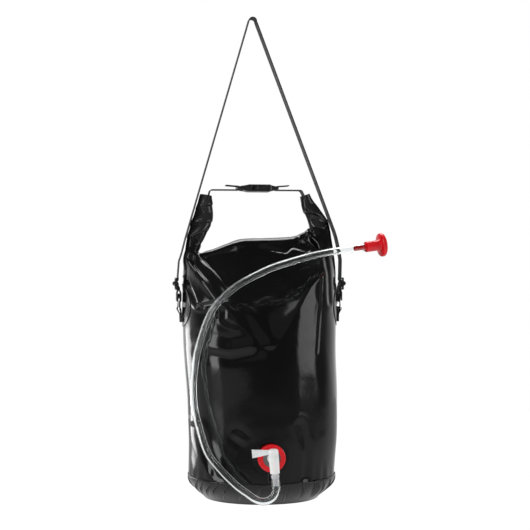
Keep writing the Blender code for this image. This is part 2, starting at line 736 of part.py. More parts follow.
def strap_side(side):
    """One leg from the top bend down through the slider, round the ring and up to the slider bar."""
    half = STRAP_THICKNESS / 2
    slider_x = ring_plane_x(side) + side * SLIDER_STANDOFF
    behind = SLIDER_HALF_THICKNESS + GAP + half
    hook = SLIDER_BAR_RADIUS + GAP + half
    over = hook + 2 * half + GAP
    double = behind + 2 * half + 1.3 * GAP
    frame = SLIDER_BAR_RADIUS + SLIDER_SLOT + SLIDER_FRAME
    loop = RING_WIRE_RADIUS + GAP + half
    ring_out = -SLIDER_STANDOFF + loop
    ring_in = -SLIDER_STANDOFF - loop
    loop_z = RING_CENTRE_Z + strap_seat() + loop - half
    arc_top = RING_CENTRE_Z + RING_ARC_RADIUS + RING_WIRE_RADIUS + GAP

    def at(out, up):
        return slider_x + side * out, SLIDER_Z + up

    main = [
        (side * (PEG_RADIUS + half), -PEG_RADIUS), *(STRAP_LEFT_SHOULDER if side < 0 else STRAP_RIGHT_SHOULDER),
        at(0, frame + STRAP_BEND / 2), at(-behind, frame), at(-behind, SLIDER_BAR_RADIUS + SLIDER_SLOT - 3 * half),
        at(over, 3 * SLIDER_BAR_RADIUS / 2), at(over, -SLIDER_BAR_RADIUS),
        at(-behind, 3 * half - SLIDER_BAR_RADIUS - SLIDER_SLOT), at(-behind, -frame),
        (slider_x + side * ring_out, arc_top + half), (slider_x + side * ring_out, loop_z),
    ]
    down = rounded(main[:4], STRAP_BEND)[:-1] + rounded(main[3:], STRAP_TURN)[1:]
    centre = (ring_plane_x(side), loop_z)
    under = arc(centre, loop, 0, -180, 8) if side > 0 else arc(centre, loop, 180, 360, 8)
    back = [
        (slider_x + side * ring_in, loop_z), (slider_x + side * ring_in, arc_top + half),
        at(-double, -frame), at(-double, -SLIDER_SLOT), at(-hook, -2 * SLIDER_BAR_RADIUS), at(-hook, 0),
    ]
    bar = at(0, 0)
    cap = arc(bar, hook, 180, 0, 8) if side > 0 else arc(bar, hook, 0, 180, 8)
    end = at(hook, -half / 2)
    path = down + under[1:-1] + rounded(back, STRAP_TURN)[:-1] + cap + [end]
    return [Vector(p) for p in path]


def shoulder_strap(finish):
    top = arc((0, -PEG_RADIUS), PEG_RADIUS + STRAP_THICKNESS / 2, 180, 0, 12)
    left = strap_side(-1)
    right = strap_side(1)
    path = list(reversed(left)) + [Vector(p) for p in top[1:-1]] + right
    place("shoulder_strap", ribbon(path, STRAP_THICKNESS, STRAP_WIDTH), finish)


def slider(side, label, finish):
    place_x = ring_plane_x(side) + side * SLIDER_STANDOFF
    tall = SLIDER_BAR_RADIUS + SLIDER_SLOT + SLIDER_FRAME
    wide, thick = SLIDER_HALF_WIDTH, SLIDER_HALF_THICKNESS
    plate = block((-thick, -wide, -tall), (thick, wide, tall))
    bmesh.ops.bevel(plate, geom=plate.edges[:], offset=SLIDER_EDGE, segments=2, affect="EDGES")
    made = place(label + "_slider", plate, finish, (place_x, 0, SLIDER_Z))
    window = STRAP_WIDTH / 2 + 2 * GAP
    opening = block((-thick - OVERRUN, -window, SLIDER_FRAME - tall), (thick + OVERRUN, window, tall - SLIDER_FRAME))
    combine(made, opening, "DIFFERENCE", label + "_slider_window_cutter", (place_x, 0, SLIDER_Z))
    bar = rod(SLIDER_BAR_RADIUS, (0, -window - SLIDER_EDGE, 0), (0, window + SLIDER_EDGE, 0), FINE_SIDES)
    combine(made, bar, "UNION", label + "_slider_bar", (place_x, 0, SLIDER_Z))


def d_ring(side, label, finish):
    """A wire D: round side up for the strap, straight bar down in the tab."""
    corner_y = RING_ARC_RADIUS - RING_CORNER
    corner_z = RING_CORNER - RING_DROP
    outline = arc((0, 0), RING_ARC_RADIUS, 0, 180, 16)
    outline += arc((-corner_y, corner_z), RING_CORNER, 180, 270, 4)
    outline += arc((corner_y, corner_z), RING_CORNER, 270, 360, 4)
    wire = bpy.data.curves.new(label + "_d_ring", "CURVE")
    wire.dimensions = "3D"
    wire.bevel_depth = RING_WIRE_RADIUS
    wire.bevel_resolution = 2
    line = wire.splines.new("POLY")
    line.points.add(len(outline) - 1)
    for point, (y, z) in zip(line.points, outline):
        point.co = (0, y, z, 1)
    line.use_cyclic_u = True
    made = bpy.data.objects.new(label + "_d_ring", wire)
    made.location = (ring_plane_x(side), 0, RING_CENTRE_Z)
    bpy.context.scene.collection.objects.link(made)
    wire.materials.append(finish)


def ring_tab(side, label, finish):
    """Webbing round the ring's straight bar, with both ends laid on the side patch."""
    half = TAB_THICKNESS / 2
    wrap = RING_WIRE_RADIUS + GAP + half
    bar_z = RING_CENTRE_Z - RING_DROP
    plane = ring_plane_x(side)
    low = bar_z - TAB_LENGTH

    def on_patch(z, layer):
        skin = bag_axis_x(z) + side * bag_halves(z)[0]
        return skin + side * (2 * GAP + PATCH_THICKNESS + half + layer * (TAB_THICKNESS + GAP)), z

    knee = bar_z - TAB_LENGTH * TAB_KNEE_share
    inner = [on_patch(low, 0), on_patch(knee, 0), (plane - side * wrap, bar_z)]
    outer = [(plane + side * wrap, bar_z), on_patch(knee - wrap, 1), on_patch(low, 1)]
    if side > 0:
        over = arc((plane, bar_z), wrap, 180, 0, 8)
    else:
        over = arc((plane, bar_z), wrap, 0, 180, 8)
    path = rounded(inner, STRAP_TURN)[:-1] + [Vector(p) for p in over] + rounded(outer, STRAP_TURN)[1:]
    place(label + "_ring_tab", ribbon(path, TAB_THICKNESS, TAB_WIDTH), finish)


def side_patch(side, label, finish):
    """An oval sheet with the ring's tab across its middle."""
    middle = 0 if side > 0 else pi
    spans = []
    for k in range(PATCH_ROWS + 1):
        turn = PATCH_END_share * pi / 2 * (2 * k / PATCH_ROWS - 1)
        spans.append((PATCH_Z + PATCH_HALF_HEIGHT * sin(turn), PATCH_HALF_WIDTH * cos(turn) ** PATCH_FULLNESS_share))
    skin_piece(label + "_side_patch", finish, middle, spans, PATCH_THICKNESS, PATCH_COLUMNS)


def back_seam(finish):
    low = seam_z() + BAG_WALL
    spans = [(low + (SHOULDER_Z - low) * k / TUBE_LEVELS, BACK_SEAM_HALF_WIDTH) for k in range(TUBE_LEVELS + 1)]
    skin_piece("back_seam", finish, pi / 2, spans, BACK_SEAM_THICKNESS, 3)


def port_face():
    """Distance from the bag's axis to its outside at the middle of the port."""
    return bag_halves(PORT_Z)[1]


def barrel_front():
    """Distance from the bag's axis to the plug's axis."""
    return port_face() + BARREL_REACH


def neck_front():
    return port_face() + GAP + FLANGE_THICKNESS + NECK_LENGTH


def seal_front():
    return neck_front() + GAP + SEAL_THICKNESS


def tube_slice(low, high, lift):
    """A solid slice of the tube, grown outwards by lift."""
    angles = [2 * pi * k / BAG_COLUMNS for k in range(BAG_COLUMNS)]
    return loft([[bag_point(angle, z, lift) for angle in angles] for z in (low, high)])


def outlet_flange(finish):
    """A thin saddle on the bag's curve with a round neck standing out of it."""
    x = bag_axis_x(PORT_Z)
    skin = port_face() + GAP
    reach = FLANGE_RADIUS + OVERRUN
    blank = rod(FLANGE_RADIUS, (0, -skin - FLANGE_THICKNESS - OVERRUN, 0), (0, -skin / 2, 0), ROUND_SIDES)
    flange = place("outlet_flange", blank, finish, (x, 0, PORT_Z), sharp=30)
    outside = tube_slice(PORT_Z - reach, PORT_Z + reach, GAP + FLANGE_THICKNESS)
    combine(flange, outside, "INTERSECT", "saddle_outside")
    neck = rod(NECK_RADIUS, (x, -neck_front(), PORT_Z), (x, -skin / 2, PORT_Z), ROUND_SIDES)
    combine(flange, neck, "UNION", "neck_outside")
    inside = tube_slice(PORT_Z - reach - OVERRUN, PORT_Z + reach + OVERRUN, GAP)
    combine(flange, inside, "DIFFERENCE", "saddle_inside_cutter")
    bore = rod(NECK_BORE, (x, -neck_front() - OVERRUN, PORT_Z), (x, -skin / 2, PORT_Z), ROUND_SIDES)
    combine(flange, bore, "DIFFERENCE", "neck_bore_cutter")


def turned_on_port(name, profile, finish, sides=ROUND_SIDES, sharp=35):
    """A turned piece about the port's axis; heights in the profile run out of the bag."""
    made = place(name, revolve(profile, sides), finish, (bag_axis_x(PORT_Z), 0, PORT_Z), sharp=sharp)
    made.rotation_euler = (pi / 2, 0, 0)
    return made


def port_seal(finish):
    rim = NECK_RADIUS - GAP
    back, front = neck_front() + GAP, seal_front()
    hole = STEM_RADIUS + GAP
    turned_on_port("port_seal", [(hole, back), (rim, back), (rim, front), (hole, front)], finish)


def collar_nut(finish):
    """Cap nut: a lip over the seal and a ribbed skirt round the neck."""
    lip_back = seal_front() + GAP
    front = lip_back + NUT_LIP
    back = lip_back - NUT_SKIRT
    inner = NECK_RADIUS + GAP
    centre = (NUT_RADIUS - NUT_ROUND, front - NUT_ROUND)
    lip_centre = (NUT_OPENING + NUT_ROUND / 2, front - NUT_ROUND / 2)
    profile = [(inner, back), (NUT_RADIUS, back)] + arc(centre, NUT_ROUND, 0, 90, 4)
    profile += arc(lip_centre, NUT_ROUND / 2, 90, 180, 3) + [(NUT_OPENING, lip_back), (inner, lip_back)]
    nut = turned_on_port("collar_nut", profile, finish)
    grooves = []
    for k in range(NUT_RIB_COUNT):
        angle = 2 * pi * k / NUT_RIB_COUNT
        x, z = bag_axis_x(PORT_Z) + NUT_RADIUS * cos(angle), PORT_Z + NUT_RADIUS * sin(angle)
        grooves.append(rod(NUT_RIB_DEPTH * 2, (x, OVERRUN - back, z), (x, NUT_ROUND - front, z), 6))
    combine(nut, joined(grooves), "DIFFERENCE", "nut_groove_cutter")


def tap_frame():
    return frame_at("tap_frame", (bag_axis_x(PORT_Z), -barrel_front(), PORT_Z), (0, -TAP_TILT, 0))


def tap_body(finish, frame):
    """Barrel with the plug's bore, inlet stem with its shoulders, and the hose spout."""
    floor = BARREL_TOP - PLUG_DEPTH - GAP
    profile = [
        (0, -SPOUT_END), (SPOUT_TIP, -SPOUT_END), (SPOUT_ROOT, -BARREL_FOOT - OVERRUN), (SPOUT_ROOT, -BARREL_FOOT),
        (BARREL_FOOT_RADIUS, -BARREL_FOOT), (BARREL_RADIUS, BARREL_TOP),
        (PLUG_RADIUS + GAP, BARREL_TOP), (PLUG_RADIUS + GAP, floor), (0, floor),
    ]
    body = place("tap_body", revolve(profile, SMALL_SIDES), finish, parent=frame)

    def reach(y):
        return barrel_front() - y

    tail = reach(neck_front() - STEM_COLLAR_THICKNESS - STEM_TAIL)
    seal_back, seal_face = neck_front() + GAP, seal_front()
    start = BARREL_RADIUS - GAP - (BARREL_RADIUS - PLUG_RADIUS) / 3
    parts = [
        ("tap_stem", STEM_RADIUS, start, tail),
        ("stem_shoulder", STEM_SHOULDER, reach(seal_back - GAP), reach(seal_back - GAP - STEM_COLLAR_THICKNESS)),
        ("stem_collar", STEM_COLLAR, reach(seal_face + GAP + STEM_COLLAR_THICKNESS), reach(seal_face + GAP)),
    ]
    for name, radius, near, far in parts:
        combine(body, rod(radius, (0, near, 0), (0, far, 0)), "UNION", name, parent=frame)
    inlet = rod(STEM_BORE, (0, 0, 0), (0, tail + OVERRUN, 0), FINE_SIDES)
    combine(body, inlet, "DIFFERENCE", "inlet_bore_cutter", parent=frame)
    outlet = rod(SPOUT_BORE, (0, 0, floor + OVERRUN), (0, 0, -SPOUT_END - OVERRUN), FINE_SIDES)
    combine(body, outlet, "DIFFERENCE", "outlet_bore_cutter", parent=frame)


def tap_lever(finish, frame):
    """Plug, domed head and flat lever in one moulding, origin on the plug's axis."""
    seat = BARREL_TOP + GAP
    top = seat + HEAD_HEIGHT
    foot = BARREL_TOP - PLUG_DEPTH
    groove_top = BARREL_TOP - GROOVE_DROP
    groove = PLUG_RADIUS - GROOVE_DEPTH
    dome = arc((HEAD_RADIUS - HEAD_ROUND, top - HEAD_ROUND), HEAD_ROUND, 0, 90, 5)
    profile = [
        (0, foot), (PLUG_RADIUS, foot), (PLUG_RADIUS, groove_top - GROOVE_HEIGHT),
        (groove, groove_top - GROOVE_HEIGHT), (groove, groove_top), (PLUG_RADIUS, groove_top),
        (PLUG_RADIUS, seat), (HEAD_RADIUS, seat),
    ] + dome + [(0, top)]
    lever = place("tap_lever", revolve(profile, SMALL_SIDES), finish, parent=frame)
    near, far = -LEVER_ROOT_REACH, -LEVER_LENGTH
    low, high = LEVER_ROOT_HALF_HEIGHT, LEVER_END_HALF_HEIGHT
    thick = LEVER_HALF_THICKNESS

    def wedge(x_near, x_far, root, end, y_low, y_high):
        outline = ((x_near, -root), (x_near, root), (x_far, end), (x_far, -end))
        return loft([[(x, y, LEVER_Z + z) for x, z in outline] for y in (y_low, y_high)])

    arm = wedge(near, far, low, high, -thick, thick)
    combine(lever, arm, "UNION", "lever_arm", parent=frame)
    rim = LEVER_RIM
    for side, label in ((-1, "front"), (1, "back")):
        depth = sorted((side * (thick - LEVER_POCKET), side * (thick + OVERRUN)))
        pocket = wedge(-HEAD_RADIUS - rim, far + rim, low - rim / 2, high - rim, depth[0], depth[1])
        combine(lever, pocket, "DIFFERENCE", "lever_pocket_cutter_" + label, parent=frame)
    port = rod(PLUG_BORE, (0, 0, 0), (PLUG_RADIUS + OVERRUN, 0, 0), FINE_SIDES)
    combine(lever, port, "DIFFERENCE", "plug_port_cutter", parent=frame)
    drain = rod(PLUG_BORE, (0, 0, PLUG_BORE / 2), (0, 0, foot - OVERRUN), FINE_SIDES)
    combine(lever, drain, "DIFFERENCE", "plug_drain_cutter", parent=frame)


def seal_ring(name, finish, inner, outer, low, high, frame):
    """A small O ring: a flat oval section between a groove and a bore."""
    middle, tall = (low + high) / 2, (high - low) / 2
    centre, wide = (inner + outer) / 2, (outer - inner) / 2
    profile = [(centre + wide * cos(2 * pi * k / 8), middle + tall * sin(2 * pi * k / 8)) for k in range(8)]
    place(name, revolve(profile, SMALL_SIDES), finish, parent=frame)


def plug_o_ring(finish, frame):
    top = BARREL_TOP - GROOVE_DROP
    seal_ring("plug_o_ring", finish, PLUG_RADIUS - GROOVE_DEPTH + GAP, PLUG_RADIUS + GAP / 2,
              top - GROOVE_HEIGHT + GAP, top - GAP, frame)


def head_direction():
    return Vector((cos(HEAD_LIFT) * cos(HEAD_TURN), cos(HEAD_LIFT) * sin(HEAD_TURN), sin(HEAD_LIFT)))


def hose_route():
    """Spout end, the points by hand, and the shower head's barb, with straight leads at both ends."""
    down = Vector((sin(TAP_TILT), 0, -cos(TAP_TILT)))
    start = Vector((bag_axis_x(PORT_Z), -barrel_front(), PORT_Z)) + down * (SPOUT_END + GAP)
    end = Vector(HOSE_END)
    along = head_direction()
    route = [start, start + down * HOSE_LEAD] + [Vector(p) for p in HOSE_ROUTE]
    return route + [end - along * HOSE_LEAD, end]


def even_points(path, step):
    """Points at equal distances along a fine polyline."""
    length = [0.0]
    for a, b in zip(path, path[1:]):
        length.append(length[-1] + (b - a).length)
    count = round(length[-1] / step)
    points = []
    k = 0
    for n in range(count + 1):
        target = length[-1] * n / count
        while k < len(length) - 2 and length[k + 1] < target:
            k += 1
        points.append(path[k].lerp(path[k + 1], (target - length[k]) / (length[k + 1] - length[k])))
    return points


def hose(finish):
    route = hose_route()
    fine = catmull(route, SMOOTH_STEPS)
    points = [route[0]] + even_points(fine[SMOOTH_STEPS:-SMOOTH_STEPS], HOSE_STEP) + [route[-1]]
    tube = bpy.data.curves.new("hose", "CURVE")
    tube.dimensions = "3D"
    tube.bevel_depth = HOSE_RADIUS
    tube.bevel_resolution = 2
    tube.use_fill_caps = True
    line = tube.splines.new("POLY")
    line.points.add(len(points) - 1)
    for target, point in zip(line.points, points):
        target.co = (*point, 1)
    made = bpy.data.objects.new("hose", tube)
    bpy.context.scene.collection.objects.link(made)
    tube.materials.append(finish)


def head_frame():
    along = head_direction()
    return frame_at("head_frame", Vector(HOSE_END) + along * GAP, along.to_track_quat("Z", "Y").to_euler())


def shower_stem(finish, frame):
    """Ridged barb, shoulder, and the sleeve that the rose slides on."""
    profile = [(STEM_CHANNEL, 0), (BARB_RADIUS, 0)]
    for k in range(BARB_COUNT):
        low = BARB_PITCH * k
        profile += [(BARB_RIDGE, low + BARB_PITCH * 0.7), (BARB_RADIUS, low + BARB_PITCH * 0.75)]
    groove_low, groove_high = stem_groove()
    profile += [
        (BARB_RADIUS, BARB_LENGTH), (SHOULDER_RADIUS, BARB_LENGTH), (SHOULDER_RADIUS, BARB_LENGTH + SHOULDER_LENGTH),
        (SLEEVE_RADIUS, BARB_LENGTH + SHOULDER_LENGTH), (SLEEVE_RADIUS, groove_low),
        (SLEEVE_RADIUS - GROOVE_DEPTH, groove_low), (SLEEVE_RADIUS - GROOVE_DEPTH, groove_high),
        (SLEEVE_RADIUS, groove_high), (SLEEVE_RADIUS, SLEEVE_END), (STEM_CHANNEL, SLEEVE_END),
    ]
    place("shower_stem", revolve(profile, SMALL_SIDES), finish, parent=frame)


def stem_groove():
    middle = (ROSE_START + SLEEVE_END) / 2 + GROOVE_HEIGHT
    return middle - GROOVE_HEIGHT / 2, middle + GROOVE_HEIGHT / 2


def stem_o_ring(finish, frame):
    low, high = stem_groove()
    seal_ring("stem_o_ring", finish, SLEEVE_RADIUS - GROOVE_DEPTH + GAP, SLEEVE_RADIUS + GAP / 2,
              low + GAP, high - GAP, frame)


def shower_rose(finish, frame):
    """Trumpet: a sleeve round the stem, a flare, and a rounded rim with a seat for the plate."""
    bore = SLEEVE_RADIUS + GAP
    plate_seat = ROSE_END - PLATE_SEAT_DEPTH
    seat_radius = ROSE_RADIUS - ROSE_ROUND - ROSE_WALL / 2
    flare = arc((ROSE_RADIUS - ROSE_ROUND, ROSE_NECK_END), ROSE_RADIUS - ROSE_ROUND - NECK_OUTER, 180, 115, 6)
    rim_centre = (ROSE_RADIUS - ROSE_ROUND, ROSE_RIM_START + ROSE_ROUND)
    flare = [(r, h) for r, h in flare if h < ROSE_RIM_START]
    rim = arc(rim_centre, ROSE_ROUND, -60, 0, 3)
    front = arc((ROSE_RADIUS - ROSE_ROUND, ROSE_END - ROSE_ROUND), ROSE_ROUND, 0, 90, 4)
    profile = [(bore, ROSE_START), (NECK_OUTER, ROSE_START)] + flare + rim + front
    profile += [
        (seat_radius, ROSE_END), (seat_radius, plate_seat), (seat_radius - ROSE_WALL, plate_seat),
        (bore, ROSE_NECK_END),
    ]
    place("shower_rose", revolve(profile, ROUND_SIDES), finish, parent=frame)


def spray_plate(finish, frame):
    radius = ROSE_RADIUS - ROSE_ROUND - ROSE_WALL / 2 - GAP
    low = ROSE_END - PLATE_SEAT_DEPTH + GAP
    disc = rod(radius, (0, 0, low), (0, 0, low + PLATE_THICKNESS), ROUND_SIDES)
    plate = place("spray_plate", disc, finish, parent=frame)
    holes = []
    for share, count in SPRAY_RINGS_shares:
        for k in range(count):
            angle = 2 * pi * k / count
            x, y = radius * share * cos(angle), radius * share * sin(angle)
            holes.append(rod(SPRAY_HOLE, (x, y, low - OVERRUN), (x, y, ROSE_END + OVERRUN), 8))
    combine(plate, joined(holes), "DIFFERENCE", "spray_hole_cutter", parent=frame)


def main():
    clear_scene()
    pvc = material("black_pvc", (0.012, 0.012, 0.013), 0.32)
    cup_pvc = material("base_pvc", (0.016, 0.016, 0.017), 0.26)
    weld = material("welded_pvc", (0.013, 0.013, 0.014), 0.38)
    web = material("black_webbing", (0.010, 0.010, 0.011), 0.80)
    moulded = material("black_moulding", (0.012, 0.012, 0.012), 0.42)
    steel = material("plated_steel", (0.70, 0.71, 0.72), 0.22, 1.0)
    red = material("red_moulding", (0.72, 0.015, 0.022), 0.25)
    white = material("white_moulding", (0.86, 0.87, 0.87), 0.30)
    grey = material("grey_seal", (0.17, 0.20, 0.20), 0.50)
    rubber = material("black_rubber", (0.02, 0.02, 0.02), 0.70)
    clear = material("clear_pvc", (0.88, 0.90, 0.90), 0.12, 0.0, 0.45)

    bag_body(pvc)
    base_cup(cup_pvc)
    back_seam(weld)
    rolled_mouth(pvc)
    for side, label in ((-1, "left"), (1, "right")):
        side_patch(side, label, weld)
        ring_tab(side, label, web)
        d_ring(side, label, steel)
        closure_webbing(side, label, web)
        slider(side, label, moulded)
    shoulder_strap(web)
    buckle_socket(moulded)
    buckle_prong_base(moulded)
    buckle_latch(-1, "buckle_front_latch", moulded)
    buckle_latch(1, "buckle_back_latch", moulded)
    outlet_flange(weld)
    port_seal(grey)
    collar_nut(red)
    tap = tap_frame()
    tap_body(white, tap)
    tap_lever(white, tap)
    plug_o_ring(rubber, tap)
    hose(clear)
    head = head_frame()
    shower_stem(red, head)
    stem_o_ring(rubber, head)
    shower_rose(red, head)
    spray_plate(red, head)


main()
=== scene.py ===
"""Camp shower bag: skins, webbing, hose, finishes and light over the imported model.

Metres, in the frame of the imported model: +Z up, the tap towards -Y, the origin under the strap's top bend.
"""
from math import asin, atan2, cos, exp, pi, radians, sin, sqrt

import bmesh
import bpy
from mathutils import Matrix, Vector, noise

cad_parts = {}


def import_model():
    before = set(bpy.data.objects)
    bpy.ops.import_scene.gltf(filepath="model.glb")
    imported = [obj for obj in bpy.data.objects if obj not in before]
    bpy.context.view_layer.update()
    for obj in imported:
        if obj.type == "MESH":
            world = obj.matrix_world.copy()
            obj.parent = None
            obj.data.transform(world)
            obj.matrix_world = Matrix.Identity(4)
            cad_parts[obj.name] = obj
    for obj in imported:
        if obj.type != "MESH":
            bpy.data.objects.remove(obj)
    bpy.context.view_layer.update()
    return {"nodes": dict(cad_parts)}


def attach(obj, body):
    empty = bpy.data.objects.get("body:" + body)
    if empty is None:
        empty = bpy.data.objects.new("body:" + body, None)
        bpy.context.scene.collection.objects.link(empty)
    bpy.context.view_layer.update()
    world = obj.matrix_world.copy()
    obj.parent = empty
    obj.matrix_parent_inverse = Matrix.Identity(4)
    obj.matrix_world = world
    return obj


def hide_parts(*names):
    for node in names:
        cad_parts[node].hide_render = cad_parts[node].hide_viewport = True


# Camera, read off the photograph
CAMERA_PLACE = (-0.2537, -2.0828, -0.3830)
CAMERA_LOOK = (0.1305, 0.9914, 0.0)
LENS_MM = 91.56
SENSOR_MM = 36

# Room: its light, what the object mirrors of it, and the directions between which it changes
WHITE = (1, 1, 1, 1)
ROOM_LIGHT = 0.62
ROOM_REFLECTION = 0.09
ROOM_ABOVE = 0.85
BACKDROP_FADE = (0.12, 0.88)
ABOVE_FADE = (0.30, 0.65)
CLEAR_FADE = (-0.3, 0.3)

# Floor
FLOOR_Z = -1.30
FLOOR_REACH = 6.0
FLOOR_GLOW = 0.93
FLOOR_WHITE = 1.06
FLOOR_COLOUR = (0.8, 0.8, 0.8)
FLOOR_ROUGHNESS = 0.9

# Lamps: name, place, aim, width, height and power in watts
LAMPS = (
    ("right_strip", (1.455, -0.700, -0.20), (0.07, -0.10, -0.45), 0.88, 0.84, 5.8),
    ("left_soft", (-1.7, -0.5, -0.2), (0.0, 0.0, -0.5), 0.5, 1.2, 9),
    ("top_soft", (0.1, 0.9, 1.1), (0.0, 0.0, -0.4), 1.4, 0.8, 16),
    ("left_rim", (-1.15, 1.25, -0.745), (0.0, 0.0, -0.60), 0.6, 0.30, 3.2),
    ("front_fill", (-0.9, -2.4, 0.9), (0.0, 0.0, -0.5), 3.0, 3.0, 4),
    ("high_left", (-1.3, -0.9, 0.9), (-0.05, 0.0, -0.32), 0.8, 0.6, 3),
)

# Bag tube
BASE_Z = -0.741
SEAM_Z = -0.706
WIDEST_Z = -0.460
BASE_X = 0.0145
TOP_X = 0.0115
TUBE_RADIUS = 0.1132
BAG_HALF_WIDTH = 0.120
BAG_HALF_DEPTH = 0.109
TUBE_LAP = 0.005
SKIN_THICKNESS = 0.0008
SWAY = 0.0034
SWAY_FULL_Z = -0.640
SWAY_FADE_Z = (-0.600, -0.500)

# Shoulders: from the tube up to the roll, over it, and as an apron down into its top
SHOULDER_Z = -0.505
SHOULDER_RISE = 0.107
SHOULDER_RIGHT_POWER = 9.0
SHOULDER_LEFT_POWER = 5.0
SHOULDER_BULGE = 1.5
SHOULDER_TUCK = 1.2
RIM_TURN = 118
RIM_EVEN = 0.4
RIM_COVER = 0.45
RIM_LIFT = 0.0024
RIM_SINK = 0.0008
APRON_TURN = 205
APRON_TUCK = 0.0040
APRON_TUCK_FROM = 0.70
LEFT_ARM_Z = -0.336
RIGHT_ARM_Z = -0.316
EDGE_ROUNDNESS = 2.05
EDGE_HALF_DEPTH = 0.020
EDGE_LEFT = (0.20, 0.50)
EDGE_RIGHT = (0.62, 0.90)

# Skin grid
SKIN_COLUMNS = 300
TUBE_ROWS = 110
SHOULDER_ROWS = 56
APRON_ROWS = 34
RIM_STEPS = 8

# Soft relief of the skin: heights, scales of the noise, and the levels between which each fades in
SLACK_FADE_Z = (-0.50, -0.385)
DENTS = 0.0008
DENTS_ABOVE = 0.0012
DENT_SCALE = (9, 9, 6)
DENT_NOISE = (0.8, 2.0, 3)
CRUMPLE = 0.0014
CRUMPLE_SIZE = 0.045
CRUMPLE_STRETCH = 0.8
CRUMPLE_NOISE = (0.9, 2.0, 3)
PUCKER = 0.0007
PUCKERS_ROUND = 31
PUCKER_FADE_Z = (-0.672, -0.703)
PUCKER_WANDER = 5
PUCKER_WANDER_SCALE = 9
PUCKER_EVEN = 0.4
PUCKER_PATCH_SCALE = 24
PORT_FLAT = (0.036, 0.060)
APRON_CALM = 0.35

# Folds: points of a line in X and Z, height of the fold and its width
FRONT_FOLDS = (
    (((-0.0877, -0.3680), (-0.0690, -0.3930), (-0.0455, -0.4260)), 0.0032, 0.0034),
    (((-0.0960, -0.3740), (-0.0770, -0.3990), (-0.0535, -0.4320)), -0.0042, 0.0052),
    (((-0.0314, -0.4236), (-0.0100, -0.4580), (0.0126, -0.4952)), 0.0013, 0.0090),
    (((-0.1060, -0.4050), (-0.0925, -0.4390), (-0.0867, -0.4450)), -0.0024, 0.0026),
    (((-0.0867, -0.4450), (-0.0647, -0.4405)), -0.0020, 0.0030),
    (((-0.0516, -0.4420), (-0.0530, -0.4657), (-0.0383, -0.4716)), -0.0011, 0.0030),
    (((-0.0850, -0.5020), (-0.0450, -0.5080), (-0.0150, -0.5020)), 0.0016, 0.0080),
    (((0.0690, -0.3400), (0.0860, -0.3510), (0.1030, -0.3610)), 0.0030, 0.0022),
    (((0.0860, -0.3330), (0.0970, -0.3470), (0.1060, -0.3600)), 0.0030, 0.0022),
    (((0.0800, -0.3400), (0.0920, -0.3500), (0.1040, -0.3600)), -0.0042, 0.0038),
    (((0.0050, -0.3568), (0.0300, -0.3590), (0.0485, -0.3630), (0.0594, -0.3537), (0.0827, -0.3599)),
     -0.0016, 0.0026),
    (((0.0975, -0.3720), (0.0955, -0.4400), (0.0890, -0.5150)), -0.0005, 0.0022),
    (((0.1080, -0.3500), (0.1100, -0.3900), (0.1130, -0.4400)), -0.0015, 0.0040),
    (((-0.0900, -0.6300), (-0.0750, -0.6700), (-0.0600, -0.7000)), -0.0014, 0.0060),
    (((-0.0350, -0.6350), (-0.0150, -0.6500)), 0.0010, 0.0050),
    (((0.0600, -0.6200), (0.0700, -0.6600), (0.0680, -0.7000)), -0.0010, 0.0060),
)
BACK_FOLDS = (
    (((-0.0800, -0.3700), (-0.0500, -0.4100), (-0.0350, -0.4500)), -0.0032, 0.0070),
    (((0.0900, -0.3600), (0.0650, -0.4100), (0.0520, -0.4600)), -0.0030, 0.0070),
    (((0.0200, -0.3900), (0.0300, -0.4300)), -0.0022, 0.0080),
    (((-0.0650, -0.6200), (-0.0500, -0.6900)), -0.0012, 0.0070),
    (((0.0500, -0.6300), (0.0650, -0.6900)), -0.0012, 0.0070),
)
FOLD_SPAN = 3.5
FOLD_HOLLOW = 0.45
FOLD_HOLLOW_AT = 1.7

# Base cup and the thin upright ridges that its skin is gathered into: place and slant in degrees
CUP_RADIUS = 0.1150
CUP_CORNER = 0.026
CUP_CORNER_POWER = 2.5
CUP_THICKNESS = 0.0012
CUP_COLUMNS = 900
CUP_ROWS = 30
CUP_FLAT_SHARES = (0.0, 0.5, 0.85)
CUP_FOOT = 0.002
CUP_MIDDLE_POWER = 0.7
CUP_STRETCH = 4
CUP_WAVE = 0.0009
CUP_WAVE_SCALE = (5, 12)
CUP_SAG = 0.0016
CUP_SAG_SCALE = 1.6
CUP_RIPPLE = 0.0010
CUP_RIPPLE_SCALE = 5.2
CUP_RIPPLE_FROM = 0.008
RIDGE_HEIGHT = 0.0030
RIDGE_WIDTH = 0.0013
RIDGE_SPAN = 4
RIDGE_HOLLOW = 0.0012
RIDGE_HOLLOW_AT = 1.9
CUP_RIDGES = (
    (-163.7, 9.0), (-155.0, 8.0), (-146.0, 8.5), (-138.0, 7.0), (-127.5, 6.0), (-113.0, 4.0),
    (-100.0, 2.0), (-88.0, 0.5), (-77.8, -0.5), (-62.7, -2.0), (-51.2, -3.0), (-48.2, -3.5),
    (-45.2, -3.5), (-38.4, -4.0), (-27.0, -3.0), (-14.0, 2.0), (3.0, 3.0), (16.0, -2.0),
    (31.0, 3.0), (44.0, -2.5), (58.0, 2.0), (75.0, -1.0), (88.0, 2.5), (104.0, -2.0),
    (117.0, 3.0), (129.0, -3.0), (146.0, 2.0), (163.0, -3.0), (178.0, 2.0),
)

